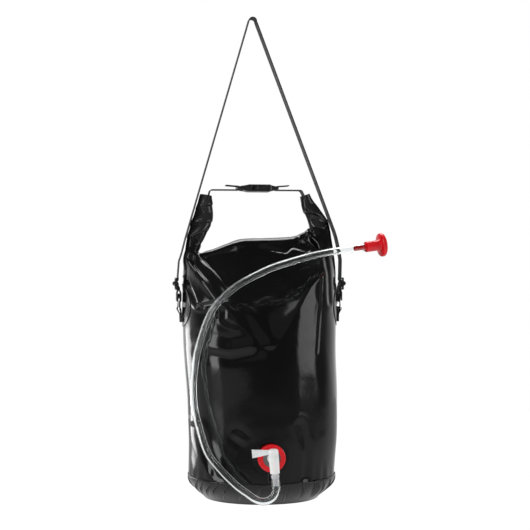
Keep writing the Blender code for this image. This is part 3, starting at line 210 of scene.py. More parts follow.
# Welded sheets: side patches and the lap weld down the back
PATCH_THICKNESS = 0.0010
PATCH_Z = -0.445
PATCH_HALF_WIDTH = 0.050
PATCH_HALF_HEIGHT = 0.033
PATCH_FULLNESS = 0.9
PATCH_END = 81
PATCH_ROWS = 40
BACK_SEAM_HALF_WIDTH = 0.010
BACK_SEAM_FOOT = 0.0015
BACK_SEAM_ROWS = 60
SHEET_COLUMNS = 48
SHEET_LIFT = 0.0006
SHEET_EDGE = 0.0005
SHEET_EDGE_WIDTH = 0.0012
WELD_INSET = 0.004
WELD_WIDTH = 0.0008
WELD_DEPTH = 0.0003

# The mouth: x, z, half height and half depth from the left arm's tip to the right one's
MOUTH_LINE = (
    (-0.0716, -0.2745, 0.0100, 0.0125), (-0.0738, -0.2890, 0.0125, 0.0110),
    (-0.0763, -0.3050, 0.0152, 0.0100), (-0.0808, -0.3200, 0.0155, 0.0095),
    (-0.0862, -0.3360, 0.0138, 0.0092), (-0.0915, -0.3510, 0.0108, 0.0094),
    (-0.0945, -0.3660, 0.0098, 0.0096), (-0.0845, -0.3765, 0.0108, 0.0092),
    (-0.0612, -0.3735, 0.0135, 0.0090), (-0.0325, -0.3655, 0.0160, 0.0090),
    (-0.0150, -0.3605, 0.0168, 0.0090), (0.0115, -0.3592, 0.0168, 0.0090),
    (0.0415, -0.3585, 0.0172, 0.0090), (0.0695, -0.3560, 0.0170, 0.0090),
    (0.0895, -0.3480, 0.0165, 0.0092), (0.1025, -0.3370, 0.0165, 0.0094),
    (0.1060, -0.3230, 0.0165, 0.0096), (0.0990, -0.3065, 0.0142, 0.0100),
    (0.0890, -0.2895, 0.0115, 0.0110), (0.0836, -0.2735, 0.0090, 0.0125),
)
MOUTH_Z = -0.362
MOUTH_STEPS = 14
MOUTH_SIDES = 160
ROLL_ROUNDNESS = 2.6
ROLL_LAYER = 0.0018
ROLL_FLAP_TURN = 2.6

# Arms of the mouth, the left one -1 and the right one 1
ARM_RISE = 0.090
ARM_FADE = (0.05, 0.5)
ARM_SQUEEZE = 1.3
TIP_SQUEEZE = 0.6
TIP_FADE_Z = (-0.304, -0.284)
LEFT_LEAN = -0.20
LEAN_LOW_Z = (-0.362, -0.345)
LEAN_HIGH_Z = (-0.284, -0.301)
ARM_TWIST = {-1: 30, 1: -27}
TWIST_WOBBLE = 1.6
TWIST_WOBBLE_SCALE = 26
TWIST_FOLD = 0.0012
TWIST_FOLD_EVEN = 0.62
ARM_CREASE = 0.0006
ARM_CREASE_SCALE = 30
ARM_CREASE_EVEN = 0.75
MOUTH_DENTS = 0.0004
MOUTH_DENT_SCALE = 38
FACET_SLANT = 0.006
FACET_PEAK = 0.12
FACET_UNDER = -0.16

# Facets on the arms: points of the crease under a facet in X and Z, the facet's height up Z and its depth
ARM_FOLDS = (
    (((-0.1000, -0.3215), (-0.0600, -0.3130)), 0.0160, 0.0062),
    (((-0.1080, -0.3430), (-0.0850, -0.3390), (-0.0640, -0.3230)), 0.0170, 0.0062),
    (((-0.0960, -0.2980), (-0.0600, -0.2890)), 0.0120, 0.0040),
    (((0.0700, -0.2930), (0.1180, -0.3160)), 0.0150, 0.0050),
    (((0.0850, -0.3200), (0.1300, -0.3360)), 0.0120, 0.0044),
)

# Hose, pushed over the spout and the shower head's barb
HOSE_RADIUS = 0.006
HOSE_BORE = 0.0042
HOSE_SLIM_RADIUS = 0.0053
HOSE_SLIM_BORE = 0.0036
HOSE_SLIM_AFTER = 0.012
HOSE_SIDES = 48
HOSE_STEPS = 10
PORT_X = 0.014018
PORT_Z = -0.6665
BARREL_FRONT = 0.149026
TAP_TILT = radians(4.5)
SPOUT_END = 0.0365
HOSE_LEAD = 0.005
HOSE_OVER_SPOUT = 0.0165
HOSE_OVER_BARB = 0.0155
HOSE_END = (0.1453, -0.0822, -0.3582)
HEAD_TURN = radians(9.5)
HEAD_LIFT = radians(7.4)
HOSE_ROUTE = (
    (0.0150, -0.1488, -0.7160), (0.0085, -0.1484, -0.7232), (-0.0020, -0.1472, -0.7258),
    (-0.0130, -0.1450, -0.7225), (-0.0240, -0.1415, -0.7150), (-0.0396, -0.1330, -0.7038),
    (-0.0596, -0.1180, -0.6843), (-0.0789, -0.0985, -0.6591), (-0.0919, -0.0765, -0.6142),
    (-0.0958, -0.0690, -0.5925), (-0.0968, -0.0645, -0.5630), (-0.0948, -0.0635, -0.5406),
    (-0.0911, -0.0697, -0.5132), (-0.0846, -0.0780, -0.4880), (-0.0774, -0.0853, -0.4652),
    (-0.0678, -0.0930, -0.4455), (-0.0550, -0.1005, -0.4306), (-0.0369, -0.1050, -0.4148),
    (-0.0114, -0.1035, -0.4003), (0.0177, -0.1010, -0.3870), (0.0484, -0.0970, -0.3772),
    (0.0792, -0.0925, -0.3689), (0.1074, -0.0880, -0.3634), (0.1281, -0.0850, -0.3605),
)

# Webbing: shoulder strap, ring tabs and closure straps; -1 is the left side and 1 the right one
GAP = 0.0003
WEB_WIDTH = 0.025
WEB_STEP = 0.003
WEB_BEND = 0.0022
CORNER_SHARE = 0.45
SELVEDGE_INSET = 0.15
SELVEDGE_RISE = 0.42
WEB_FLAT_THIRDS = (-2.6, -1.3, 0, 1.3, 2.6)
UNDERSIDE_SHIFT = 0.2
STRAP_THICKNESS = 0.0016
STRAP_BEND = 0.030
STRAP_SHOULDERS = {
    -1: ((-0.1046, -0.3440), (-0.1105, -0.3680)),
    1: ((0.1320, -0.3378), (0.1378, -0.3650)),
}
PEG_RADIUS = 0.005
SLIDER_Z = -0.412
SLIDER_HALF_THICKNESS = 0.0015
SLIDER_BAR_RADIUS = 0.0015
SLIDER_SLOT = 0.0058
SLIDER_FRAME = 0.0022
SLIDER_STANDOFF = 0.0040
RING_STANDOFF = 0.0055
RING_CENTRE_Z = -0.4440
RING_ARC_RADIUS = 0.0155
RING_WIRE_RADIUS = 0.0018
RING_DROP = 0.007
TAB_THICKNESS = 0.0012
TAB_LENGTH = 0.020
TAB_WIDTH = 0.023
TAB_KNEE = 0.25
CLOSURE_THICKNESS = 0.0014
CLOSURE_INSERT = 0.012
CLOSURE_TIP_INSET = 0.004
CLOSURE_BEND = 0.006
CLOSURE_TAIL = 0.019
CLOSURE_TAIL_LIFT = 0.0015
BUCKLE_X = 0.0079
BUCKLE_Z = -0.2638
BUCKLE_HALF_LENGTH = 0.032
BUCKLE_BAR_RADIUS = 0.0018
ARM_TIPS = {
    -1: ((-0.0717, -0.27461), (-0.0753, -0.29252), (-0.0763, -0.30899)),
    1: ((0.0837, -0.27254), (0.0890, -0.28298), (0.0965, -0.29702)),
}

# Where noise reaches its low and high value, for roughness and for colour
NOISE_SPAN = (0.3, 0.7)
TINT_STOPS = (0.35, 0.65)

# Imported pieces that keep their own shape, by the finish they get
REPAINTED = (
    ("black", ("left_slider", "right_slider", "buckle_socket", "buckle_prong_base", "buckle_front_latch",
               "buckle_back_latch")),
    ("steel", ("left_d_ring", "right_d_ring")),
    ("weld", ("outlet_flange",)),
    ("red", ("collar_nut", "shower_stem", "shower_rose", "spray_plate")),
    ("white", ("tap_body", "tap_lever")),
    ("grey", ("port_seal",)),
    ("rubber", ("plug_o_ring", "stem_o_ring")),
)

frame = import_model()


# Curves and meshes

def smooth_step(low, high, value):
    """0 at low and 1 at high, with a soft start and end; low may be the larger one."""
    t = min(max((value - low) / (high - low), 0), 1)
    return t * t * (3 - 2 * t)


def bell(x):
    """1 at 0, fading away on either side."""
    return exp(-x * x)


def catmull(points, steps):
    """A smooth curve through every point."""
    points = [Vector(p) for p in points]
    padded = [points[0] * 2 - points[1]] + points + [points[-1] * 2 - points[-2]]
    path = []
    for a, b, c, d in zip(padded, padded[1:], padded[2:], padded[3:]):
        for k in range(steps):
            t = k / steps
            path.append(0.5 * ((2 * b) + (c - a) * t + (2 * a - 5 * b + 4 * c - d) * t ** 2
                               + (3 * b - a - 3 * c + d) * t ** 3))
    path.append(points[-1])
    return path


def along_path(path):
    """Unit directions along a path."""
    last = len(path) - 1
    directions = []
    for k in range(last + 1):
        run = Vector(path[min(k + 1, last)]) - Vector(path[max(k - 1, 0)])
        directions.append(run.normalized())
    return directions


def arc(centre, radius, start, end, steps):
    """Points on an arc in a plane, angles in degrees."""
    angles = [radians(start + (end - start) * k / steps) for k in range(steps + 1)]
    return [Vector((centre[0] + radius * cos(a), centre[1] + radius * sin(a))) for a in angles]


def rounded(points, reach, steps=6):
    """A polyline with each inner corner turned into a smooth bend."""
    points = [Vector(p) for p in points]
    path = [points[0]]
    for before, corner, after in zip(points, points[1:], points[2:]):
        trim = min(reach, (corner - before).length * CORNER_SHARE, (after - corner).length * CORNER_SHARE)
        start = corner + (before - corner).normalized() * trim
        end = corner + (after - corner).normalized() * trim
        for k in range(steps + 1):
            t = k / steps
            path.append(start * (1 - t) ** 2 + corner * 2 * t * (1 - t) + end * t ** 2)
    path.append(points[-1])
    return path


def spaced(path, step):
    """The path's own points, with more between them where they lie far apart."""
    points = [Vector(path[0])]
    for a, b in zip(path, path[1:]):
        a, b = Vector(a), Vector(b)
        parts = max(1, round((b - a).length / step))
        points += [a.lerp(b, k / parts) for k in range(1, parts + 1)]
    return points


def grid_mesh(name, rows, closed, cap=False):
    """A mesh through rows of points; closed joins each row's ends."""
    built = bmesh.new()
    verts = [[built.verts.new(p) for p in row] for row in rows]
    count = len(rows[0])
    for low, high in zip(verts, verts[1:]):
        for k in range(count if closed else count - 1):
            following = (k + 1) % count
            built.faces.new((low[k], low[following], high[following], high[k]))
    if cap:
        built.faces.new(reversed(verts[0]))
        built.faces.new(verts[-1])
    bmesh.ops.remove_doubles(built, verts=built.verts, dist=1e-6)
    return mesh_from(name, built)


def mesh_from(name, built):
    """Turn the faces outwards and keep the result as a mesh."""
    bmesh.ops.recalc_face_normals(built, faces=built.faces)
    mesh = bpy.data.meshes.new(name)
    built.to_mesh(mesh)
    built.free()
    return mesh


def show(name, mesh, finish, body, sharp=None):
    """Link a mesh as a piece that rides on a body; edges over the sharp angle in degrees stay sharp."""
    mesh.shade_smooth()
    if sharp:
        mesh.set_sharp_from_angle(angle=radians(sharp))
    piece = bpy.data.objects.new(name, mesh)
    bpy.context.scene.collection.objects.link(piece)
    mesh.materials.append(finish)
    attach(piece, body)
    return piece


def thicken(piece, thickness):
    """Give an open skin its wall, inwards from the modelled side."""
    wall = piece.modifiers.new("thickness", "SOLIDIFY")
    wall.thickness = thickness
    wall.offset = -1


# Bag

def share_up(z):
    """0 at the base seam and below, 1 at the widest level and above."""
    return min(max((z - SEAM_Z) / (WIDEST_Z - SEAM_Z), 0), 1)


def bag_axis_x(z):
    """Where the tube's axis is at a level."""
    return BASE_X + (TOP_X - BASE_X) * share_up(z)


def bag_halves(z):
    """The tube's half width and half depth at a level."""
    up = share_up(z)
    half_width = TUBE_RADIUS + (BAG_HALF_WIDTH - TUBE_RADIUS) * up
    half_depth = TUBE_RADIUS + (BAG_HALF_DEPTH - TUBE_RADIUS) * up
    return half_width, half_depth


def bag_point(angle, z):
    """A point on the tube; angle 0 is the right side and 90 degrees the back."""
    half_width, half_depth = bag_halves(z)
    sway = SWAY * smooth_step(SEAM_Z, SWAY_FULL_Z, z) * (1 - smooth_step(*SWAY_FADE_Z, z))
    return Vector((bag_axis_x(z) + sway + half_width * cos(angle), half_depth * sin(angle), z))


def mouth_stations(steps):
    """Centre, direction, half height and half depth along the mouth."""
    path = catmull([(x, z) for x, z, high, deep in MOUTH_LINE], steps)
    halves = catmull([(high, deep) for x, z, high, deep in MOUTH_LINE], steps)
    return [(point, along, half[0], half[1]) for point, along, half in zip(path, along_path(path), halves)]


def roll_point(station, turn, lift, roundness):
    """A point on the roll: turn 0 is its outer underside, 90 degrees the front, 180 the loop's inside."""
    point, along, half_height, half_depth = station
    out = Vector((along[1], -along[0]))
    power = 2 / roundness
    u = (half_height + lift) * abs(cos(turn)) ** power * (1 if cos(turn) > 0 else -1)
    v = (half_depth + lift) * abs(sin(turn)) ** power * (1 if sin(turn) > 0 else -1)
    return Vector((point[0] + out[0] * u, -v, point[1] + out[1] * u))


def station_near(stations, share):
    """The station at a share from 0 to 1 of the stretch between the arms, where the shoulders run up."""
    half = len(stations) // 2
    low = min(range(half), key=lambda k: abs(stations[k][0][1] - LEFT_ARM_Z))
    high = min(range(half, len(stations)), key=lambda k: abs(stations[k][0][1] - RIGHT_ARM_Z))
    place = low + (high - low) * min(max(share, 0), 1)
    k = min(int(place), len(stations) - 2)
    t = place - k
    a, b = stations[k], stations[k + 1]
    half_height = a[2] + (b[2] - a[2]) * t
    half_depth = a[3] + (b[3] - a[3]) * t
    return a[0].lerp(b[0], t), a[1].lerp(b[1], t).normalized(), half_height, half_depth


def rim_places(angles):
    """Each column's station on the mouth and its reach round it, from -1 behind to 1 in front."""
    stations = mouth_stations(RIM_STEPS)
    places = []
    for angle in angles:
        fan = asin(cos(angle)) * 2 / pi
        share = 0.5 + 0.5 * ((1 - RIM_EVEN) * cos(angle) + RIM_EVEN * fan)
        point, along, half_height, half_depth = station_near(stations, share)
        middle = smooth_step(*EDGE_LEFT, share) * (1 - smooth_step(*EDGE_RIGHT, share))
        station = (point, along, half_height, half_depth + (EDGE_HALF_DEPTH - half_depth) * middle)
        cover = smooth_step(0.0, RIM_COVER, abs(sin(angle)))
        places.append((station, cover if sin(angle) < 0 else -cover))
    return places


def over_roll(place, turn, lift):
    """A point of the skin that lies over the roll, turned round it by degrees."""
    station, cover = place
    return roll_point(station, radians(turn) * cover, lift * abs(cover) - RIM_SINK, EDGE_ROUNDNESS)


def shoulder_top(angle):
    """Where the tube ends and the shoulder starts: low in front and behind, high at the sides."""
    power = SHOULDER_RIGHT_POWER if cos(angle) > 0 else SHOULDER_LEFT_POWER
    return SHOULDER_Z + SHOULDER_RISE * (1 - abs(sin(angle)) ** power)


def shoulder_point(low, high, t):
    """A point at a share of the way from the tube's top to the roll."""
    x = low.x + (high.x - low.x) * t * t
    y = high.y + (low.y - high.y) * (1 - t ** SHOULDER_BULGE) ** SHOULDER_TUCK
    return Vector((x, y, low.z + (high.z - low.z) * t))


def skin_rows():
    """Rows of points up the tube, over the shoulders and over the roll, down into its top."""
    angles = [2 * pi * k / SKIN_COLUMNS for k in range(SKIN_COLUMNS)]
    bottom = SEAM_Z - TUBE_LAP
    tops = [shoulder_top(angle) for angle in angles]
    rows = []
    for level in range(TUBE_ROWS + 1):
        t = level / TUBE_ROWS
        rows.append([bag_point(angle, bottom + (top - bottom) * t) for angle, top in zip(angles, tops)])
    base = rows[-1]
    places = rim_places(angles)
    rim = [over_roll(place, RIM_TURN, RIM_LIFT) for place in places]
    for level in range(1, SHOULDER_ROWS + 1):
        rows.append([shoulder_point(low, high, level / SHOULDER_ROWS) for low, high in zip(base, rim)])
    for level in range(1, APRON_ROWS + 1):
        t = level / APRON_ROWS
        turn = RIM_TURN + (APRON_TURN - RIM_TURN) * t
        lift = RIM_LIFT - APRON_TUCK * smooth_step(APRON_TUCK_FROM, 1.0, t)
        rows.append([over_roll(place, turn, lift) for place in places])
    return rows


def grid_normals(rows):
    """Outward normals of a grid whose rows are closed."""
    count = len(rows[0])
    last = len(rows) - 1
    normals = []
    for r, row in enumerate(rows):
        up_row, down_row = rows[min(r + 1, last)], rows[max(r - 1, 0)]
        line = []
        for k in range(count):
            side = row[(k + 1) % count] - row[k - 1]
            normal = side.cross(up_row[k] - down_row[k])
            line.append(normal.normalized() if normal.length > 1e-12 else Vector((0, 0, 1)))
        normals.append(line)
    return normals


def to_segment(x, z, a, b):
    """Distance from a point to a segment."""
    run_x, run_z = b[0] - a[0], b[1] - a[1]
    t = ((x - a[0]) * run_x + (z - a[1]) * run_z) / (run_x * run_x + run_z * run_z)
    t = min(max(t, 0), 1)
    return sqrt((x - a[0] - run_x * t) ** 2 + (z - a[1] - run_z * t) ** 2)


def fold_height(x, z, folds):
    """Sum of the folds at a place: a narrow crease with a soft shoulder on either side."""
    total = 0.0
    for line, height, width in folds:
        reach = min(to_segment(x, z, a, b) for a, b in zip(line, line[1:]))
        if reach < width * FOLD_SPAN:
            away = reach / width
            total += height * (bell(away) - FOLD_HOLLOW * bell(away - FOLD_HOLLOW_AT))
    return total


def skin_relief(p):
    """How far the skin stands off its plain shape at a place."""
    folds = fold_height(p.x, p.z, FRONT_FOLDS if p.y < 0 else BACK_FOLDS)
    slack = smooth_step(*SLACK_FADE_Z, p.z)
    turn = atan2(p.y, p.x - TOP_X)
    pucker = cos(turn * PUCKERS_ROUND + PUCKER_WANDER * noise.noise(p * PUCKER_WANDER_SCALE))
    pucker *= PUCKER_EVEN + (1 - PUCKER_EVEN) * noise.noise(p * PUCKER_PATCH_SCALE)
    dents = noise.fractal(p * Vector(DENT_SCALE), *DENT_NOISE)
    sharp = abs(noise.fractal(Vector((p.x, p.y, p.z * CRUMPLE_STRETCH)) / CRUMPLE_SIZE, *CRUMPLE_NOISE))
    relief = folds + dents * (DENTS + DENTS_ABOVE * slack) - sharp * CRUMPLE * slack
    relief += pucker * PUCKER * smooth_step(*PUCKER_FADE_Z, p.z)
    if p.y < 0:
        relief *= smooth_step(*PORT_FLAT, sqrt((p.x - PORT_X) ** 2 + (p.z - PORT_Z) ** 2))
    return relief


def bag_skin(finish):
    """The bag's one skin, from the base seam to the apron inside the loop of the mouth."""
    rows = skin_rows()
    moved = []
    for row, line in zip(rows, grid_normals(rows)):
        calm = APRON_CALM if len(moved) > TUBE_ROWS + SHOULDER_ROWS else 1.0
        moved.append([p + n * skin_relief(p) * calm for p, n in zip(row, line)])
    skin = show("bag_skin", grid_mesh("bag_skin", moved, True), finish, "bag")
    thicken(skin, SKIN_THICKNESS)
    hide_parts("bag_body")


def cup_ridges(turn, up):
    """Height of the thin upright ridges at a place on the base cup."""
    total = 0.0
    for place, slant in CUP_RIDGES:
        away = turn - radians(place + slant * (up - 0.5) * 2)
        away = (away + pi) % (2 * pi) - pi
        reach = abs(away) * CUP_RADIUS / RIDGE_WIDTH
        if reach < RIDGE_SPAN:
            total += RIDGE_HEIGHT * bell(reach) - RIDGE_HOLLOW * bell(reach - RIDGE_HOLLOW_AT)
    return total


def cup_profile():
    """Radius and level from the middle of the base, round its corner and up to the seam."""
    flat = CUP_RADIUS - CUP_CORNER
    profile = [(flat * share, BASE_Z) for share in CUP_FLAT_SHARES]
    for k in range(CUP_ROWS + 1):
        a = radians(-90 + 90 * k / CUP_ROWS)
        radius = flat + CUP_CORNER * cos(a) ** CUP_CORNER_POWER
        profile.append((radius, SEAM_Z + (SEAM_Z - BASE_Z) * sin(a)))
    return profile


def cup_point(radius, z, turn):
    """A point on the base cup, with its waves, ridges and uneven upper edge."""
    out = radius / CUP_RADIUS
    up = smooth_step(BASE_Z + CUP_FOOT, SEAM_Z, z)
    place = Vector((cos(turn), sin(turn), z * CUP_STRETCH))
    around, upward = CUP_WAVE_SCALE
    wave = noise.noise(Vector((cos(turn) * around, sin(turn) * around, z * upward)))
    grow = (CUP_WAVE * wave + cup_ridges(turn, up)) * sin(pi * up) ** CUP_MIDDLE_POWER * out ** 3
    sag = CUP_SAG * noise.noise(place * CUP_SAG_SCALE) * out ** 2
    edge = smooth_step(SEAM_Z - CUP_RIPPLE_FROM, SEAM_Z, z)
    ripple = CUP_RIPPLE * noise.noise(place * CUP_RIPPLE_SCALE) * edge
    reach = radius + grow + sag
    return Vector((BASE_X + reach * cos(turn), reach * sin(turn), z + ripple))


def base_skin(finish):
    """The base cup: a stiffer skin with upright ridges from the seam to the rounded edge."""
    turns = [2 * pi * k / CUP_COLUMNS for k in range(CUP_COLUMNS)]
    rows = [[cup_point(radius, z, turn) for turn in turns] for radius, z in cup_profile()]
    cup = show("base_skin", grid_mesh("base_skin", rows, True), finish, "bag")
    thicken(cup, CUP_THICKNESS)
    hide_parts("base_cup")


def welded_sheet(name, node_name, middle, spans, finish):
    """A thin sheet on the tube that follows the skin under it, with a weld line inside its edge."""
    rows = []
    for z, half_width in spans:
        reach = half_width / bag_halves(z)[0]
        row = []
        for c in range(SHEET_COLUMNS + 1):
            across = 2 * c / SHEET_COLUMNS - 1
            angle = middle + reach * across
            place = bag_point(angle, z)
            border = half_width * (1 - abs(across))
            weld = bell((border - WELD_INSET) / WELD_WIDTH)
            lift = SHEET_LIFT + SHEET_EDGE * smooth_step(0.0, SHEET_EDGE_WIDTH, border) - WELD_DEPTH * weld
            out = Vector((cos(angle), sin(angle), 0))
            row.append(place + out * (skin_relief(place) + lift))
        rows.append(row)
    sheet = show(name, grid_mesh(name, rows, False), finish, "bag")
    thicken(sheet, SKIN_THICKNESS)
    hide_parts(node_name)


def welded_sheets(finish):
    """The oval sheets behind the rings, and the lap weld down the back."""
    for middle, label in ((pi, "left"), (0.0, "right")):
        spans = []
        for k in range(PATCH_ROWS + 1):
            turn = radians(PATCH_END * (2 * k / PATCH_ROWS - 1))
            half_width = PATCH_HALF_WIDTH * cos(turn) ** PATCH_FULLNESS
            spans.append((PATCH_Z + PATCH_HALF_HEIGHT * sin(turn), half_width))
        welded_sheet(label + "_patch_sheet", label + "_side_patch", middle, spans, finish)
    low = SEAM_Z + BACK_SEAM_FOOT
    levels = [low + (SHOULDER_Z - low) * k / BACK_SEAM_ROWS for k in range(BACK_SEAM_ROWS + 1)]
    welded_sheet("back_seam_sheet", "back_seam", pi / 2, [(z, BACK_SEAM_HALF_WIDTH) for z in levels], finish)


def arm_facets(x, z):
    """Broad facets on the arms: each leans out down to its crease and then turns in under it."""
    total = 0.0
    for line, tall, depth in ARM_FOLDS:
        for a, b in zip(line, line[1:]):
            if a[0] <= x < b[0]:
                crease = a[1] + (b[1] - a[1]) * (x - a[0]) / (b[0] - a[0])
                above = (z - crease) / tall
                total += depth * smooth_step(1.0, FACET_PEAK, above) * smooth_step(FACET_UNDER, 0.0, above)
    return total


def mouth_point(station, along, turn):
    """A point on the mouth: the roll's layered edge, and on the arms twisted folds and facets."""
    centre = Vector((station[0][0], 0, station[0][1]))
    side = -1 if along < 0.5 else 1
    arm = smooth_step(*ARM_FADE, (centre.z - MOUTH_Z) / ARM_RISE)
    squeeze = ARM_SQUEEZE + (TIP_SQUEEZE - ARM_SQUEEZE) * smooth_step(*TIP_FADE_Z, centre.z)
    layer = ROLL_LAYER * (((turn - ROLL_FLAP_TURN) / (2 * pi)) % 1)
    place = roll_point(station, turn, -layer, ROLL_ROUNDNESS - squeeze * arm)
    if side < 0:
        lean = LEFT_LEAN * smooth_step(*LEAN_LOW_Z, place.z) * smooth_step(*LEAN_HIGH_Z, place.z)
        place.y += lean * (place.x - centre.x)
    spin = turn + along * ARM_TWIST[side] + TWIST_WOBBLE * noise.noise(place * TWIST_WOBBLE_SCALE)
    twist = abs(((spin / (2 * pi)) % 1) * 2 - 1)
    folds = (twist - TWIST_FOLD_EVEN) * TWIST_FOLD * arm
    folds += (sqrt(abs(noise.noise(place * ARM_CREASE_SCALE))) - ARM_CREASE_EVEN) * ARM_CREASE * arm
    folds += noise.noise(place * MOUTH_DENT_SCALE) * MOUTH_DENTS
    folds += arm_facets(place.x - side * FACET_SLANT * sin(turn), place.z) * abs(sin(turn))
    return place + (place - centre).normalized() * folds


def mouth_skin(finish):
    """The roll with its two arms and their flattened ends."""
    stations = mouth_stations(MOUTH_STEPS)
    turns = [2 * pi * k / MOUTH_SIDES for k in range(MOUTH_SIDES)]
    last = len(stations) - 1
    rows = [[mouth_point(station, k / last, turn) for turn in turns] for k, station in enumerate(stations)]
    mesh = grid_mesh("rolled_mouth_skin", rows, True, cap=True)
    mouth = show("rolled_mouth_skin", mesh, finish, "bag", 60)
    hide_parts("rolled_mouth")


# Webbing

def ring_plane_x(side):
    """The plane in which a D ring hangs."""
    return bag_axis_x(RING_CENTRE_Z) + side * (BAG_HALF_WIDTH + RING_STANDOFF)


def strap_side(side):
    """One leg of the strap: top bend, slider, round the ring and up again to the slider's bar."""
    half = STRAP_THICKNESS / 2
    slider_x = ring_plane_x(side) + side * SLIDER_STANDOFF
    behind = SLIDER_HALF_THICKNESS + GAP + half
    hook = SLIDER_BAR_RADIUS + GAP + half
    over = hook + 2 * half + GAP
    double = behind + 2 * half + 1.3 * GAP
    tall = SLIDER_BAR_RADIUS + SLIDER_SLOT + SLIDER_FRAME
    window = SLIDER_BAR_RADIUS + SLIDER_SLOT - 3 * half
    loop = RING_WIRE_RADIUS + GAP + half
    seat = sqrt((RING_ARC_RADIUS - RING_WIRE_RADIUS - GAP) ** 2 - (WEB_WIDTH / 2) ** 2)
    loop_z = RING_CENTRE_Z + seat + loop - half
    arc_top = RING_CENTRE_Z + RING_ARC_RADIUS + RING_WIRE_RADIUS + GAP

    def at(out, up):
        return slider_x + side * out, SLIDER_Z + up

    main = [
        (side * (PEG_RADIUS + half), -PEG_RADIUS), *STRAP_SHOULDERS[side],
        at(0, tall + STRAP_BEND / 2), at(-behind, tall), at(-behind, window),
        at(over, 3 * SLIDER_BAR_RADIUS / 2), at(over, -SLIDER_BAR_RADIUS),
        at(-behind, -window), at(-behind, -tall),
        at(loop - SLIDER_STANDOFF, arc_top + half - SLIDER_Z), at(loop - SLIDER_STANDOFF, loop_z - SLIDER_Z),
    ]
    down = rounded(main[:4], STRAP_BEND)[:-1] + rounded(main[3:], WEB_BEND)[1:]
    centre = (ring_plane_x(side), loop_z)
    under = arc(centre, loop, 0, -180, 12) if side > 0 else arc(centre, loop, 180, 360, 12)
    back = [
        at(-loop - SLIDER_STANDOFF, loop_z - SLIDER_Z),
        at(-loop - SLIDER_STANDOFF, arc_top + half - SLIDER_Z),
        at(-double, -tall), at(-double, -SLIDER_SLOT), at(-hook, -2 * SLIDER_BAR_RADIUS), at(-hook, 0),
    ]
    cap = arc(at(0, 0), hook, 180, 0, 12) if side > 0 else arc(at(0, 0), hook, 0, 180, 12)
    return down + under[1:-1] + rounded(back, WEB_BEND)[:-1] + cap + [Vector(at(hook, -half / 2))]


def ring_tab_path(side):
    """Webbing round the ring's straight bar, both ends down on the side patch."""
    half = TAB_THICKNESS / 2
    wrap = RING_WIRE_RADIUS + GAP + half
    bar_z = RING_CENTRE_Z - RING_DROP
    plane = ring_plane_x(side)
    low = bar_z - TAB_LENGTH

    def on_patch(z, layer):
        skin = bag_axis_x(z) + side * bag_halves(z)[0]
        return skin + side * (2 * GAP + PATCH_THICKNESS + half + layer * (TAB_THICKNESS + GAP)), z

    knee = bar_z - TAB_LENGTH * TAB_KNEE
    inner = [on_patch(low, 0), on_patch(knee, 0), (plane - side * wrap, bar_z)]
    outer = [(plane + side * wrap, bar_z), on_patch(knee - wrap, 1), on_patch(low, 1)]
    over = arc((plane, bar_z), wrap, 180, 0, 12) if side > 0 else arc((plane, bar_z), wrap, 0, 180, 12)
    return rounded(inner, WEB_BEND)[:-1] + over + rounded(outer, WEB_BEND)[1:]


def closure_path(side):
    """From inside an arm tip to the buckle's bar, round it and back as a short tail."""
    arm = catmull(ARM_TIPS[side], 2)
    along = (arm[0] - arm[1]).normalized()
    wrap = BUCKLE_BAR_RADIUS + GAP + CLOSURE_THICKNESS / 2
    load_z = BUCKLE_Z - wrap
    bar = BUCKLE_X + side * (BUCKLE_HALF_LENGTH - BUCKLE_BAR_RADIUS)
    entry = arm[0] + Vector((-side, 0)) * CLOSURE_TIP_INSET
    start = entry - along * CLOSURE_INSERT
    corner = entry + along * ((load_z - entry[1]) / along[1])
    run = rounded([start, entry, corner, Vector((bar, load_z))], CLOSURE_BEND, 8)
    turn = arc((bar, BUCKLE_Z), wrap, -90, 90, 12) if side < 0 else arc((bar, BUCKLE_Z), wrap, 270, 90, 12)
    return run + turn[1:] + [Vector((bar + side * CLOSURE_TAIL, BUCKLE_Z + wrap + CLOSURE_TAIL_LIFT))]


def web_section(width, thickness):
    """Points round the section: metres across, and shares of the thickness; the selvedges are rounded."""
    half = width / 2
    edge = half - thickness * SELVEDGE_INSET
    section = [(-edge, -SELVEDGE_RISE), (-half, 0.0), (-edge, SELVEDGE_RISE)]
    section += [(half * k / 3, 0.5) for k in WEB_FLAT_THIRDS]
    section += [(edge, SELVEDGE_RISE), (half, 0.0), (edge, -SELVEDGE_RISE)]
    section += [(half * k / 3, -0.5) for k in reversed(WEB_FLAT_THIRDS)]
    return section


def band(name, path, thickness, finish, body, node_name, width=WEB_WIDTH):
    """Flat webbing along a path in the XZ plane, with a UV map in metres."""
    path = spaced(path, WEB_STEP)
    section = web_section(width, thickness)
    built = bmesh.new()
    uv = built.loops.layers.uv.new("weave")
    rows, travel = [], [0.0]
    for a, b in zip(path, path[1:]):
        travel.append(travel[-1] + (b - a).length)
    for p, along in zip(path, along_path(path)):
        side = Vector((along[1], -along[0]))
        row = []
        for y, n in section:
            out = side * (n * thickness)
            row.append(built.verts.new((p[0] + out[0], y, p[1] + out[1])))
        rows.append(row)
    for r in range(len(rows) - 1):
        for k in range(len(section)):
            j = (k + 1) % len(section)
            face = built.faces.new((rows[r][k], rows[r][j], rows[r + 1][j], rows[r + 1][k]))
            for loop, (across, row) in zip(face.loops, ((k, r), (j, r), (j, r + 1), (k, r + 1))):
                y, n = section[across]
                loop[uv].uv = (y + (UNDERSIDE_SHIFT if n < 0 else 0), travel[row])
    built.faces.new(reversed(rows[0]))
    built.faces.new(rows[-1])
    piece = show(name, mesh_from(name, built), finish, body, 50)
    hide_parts(node_name)


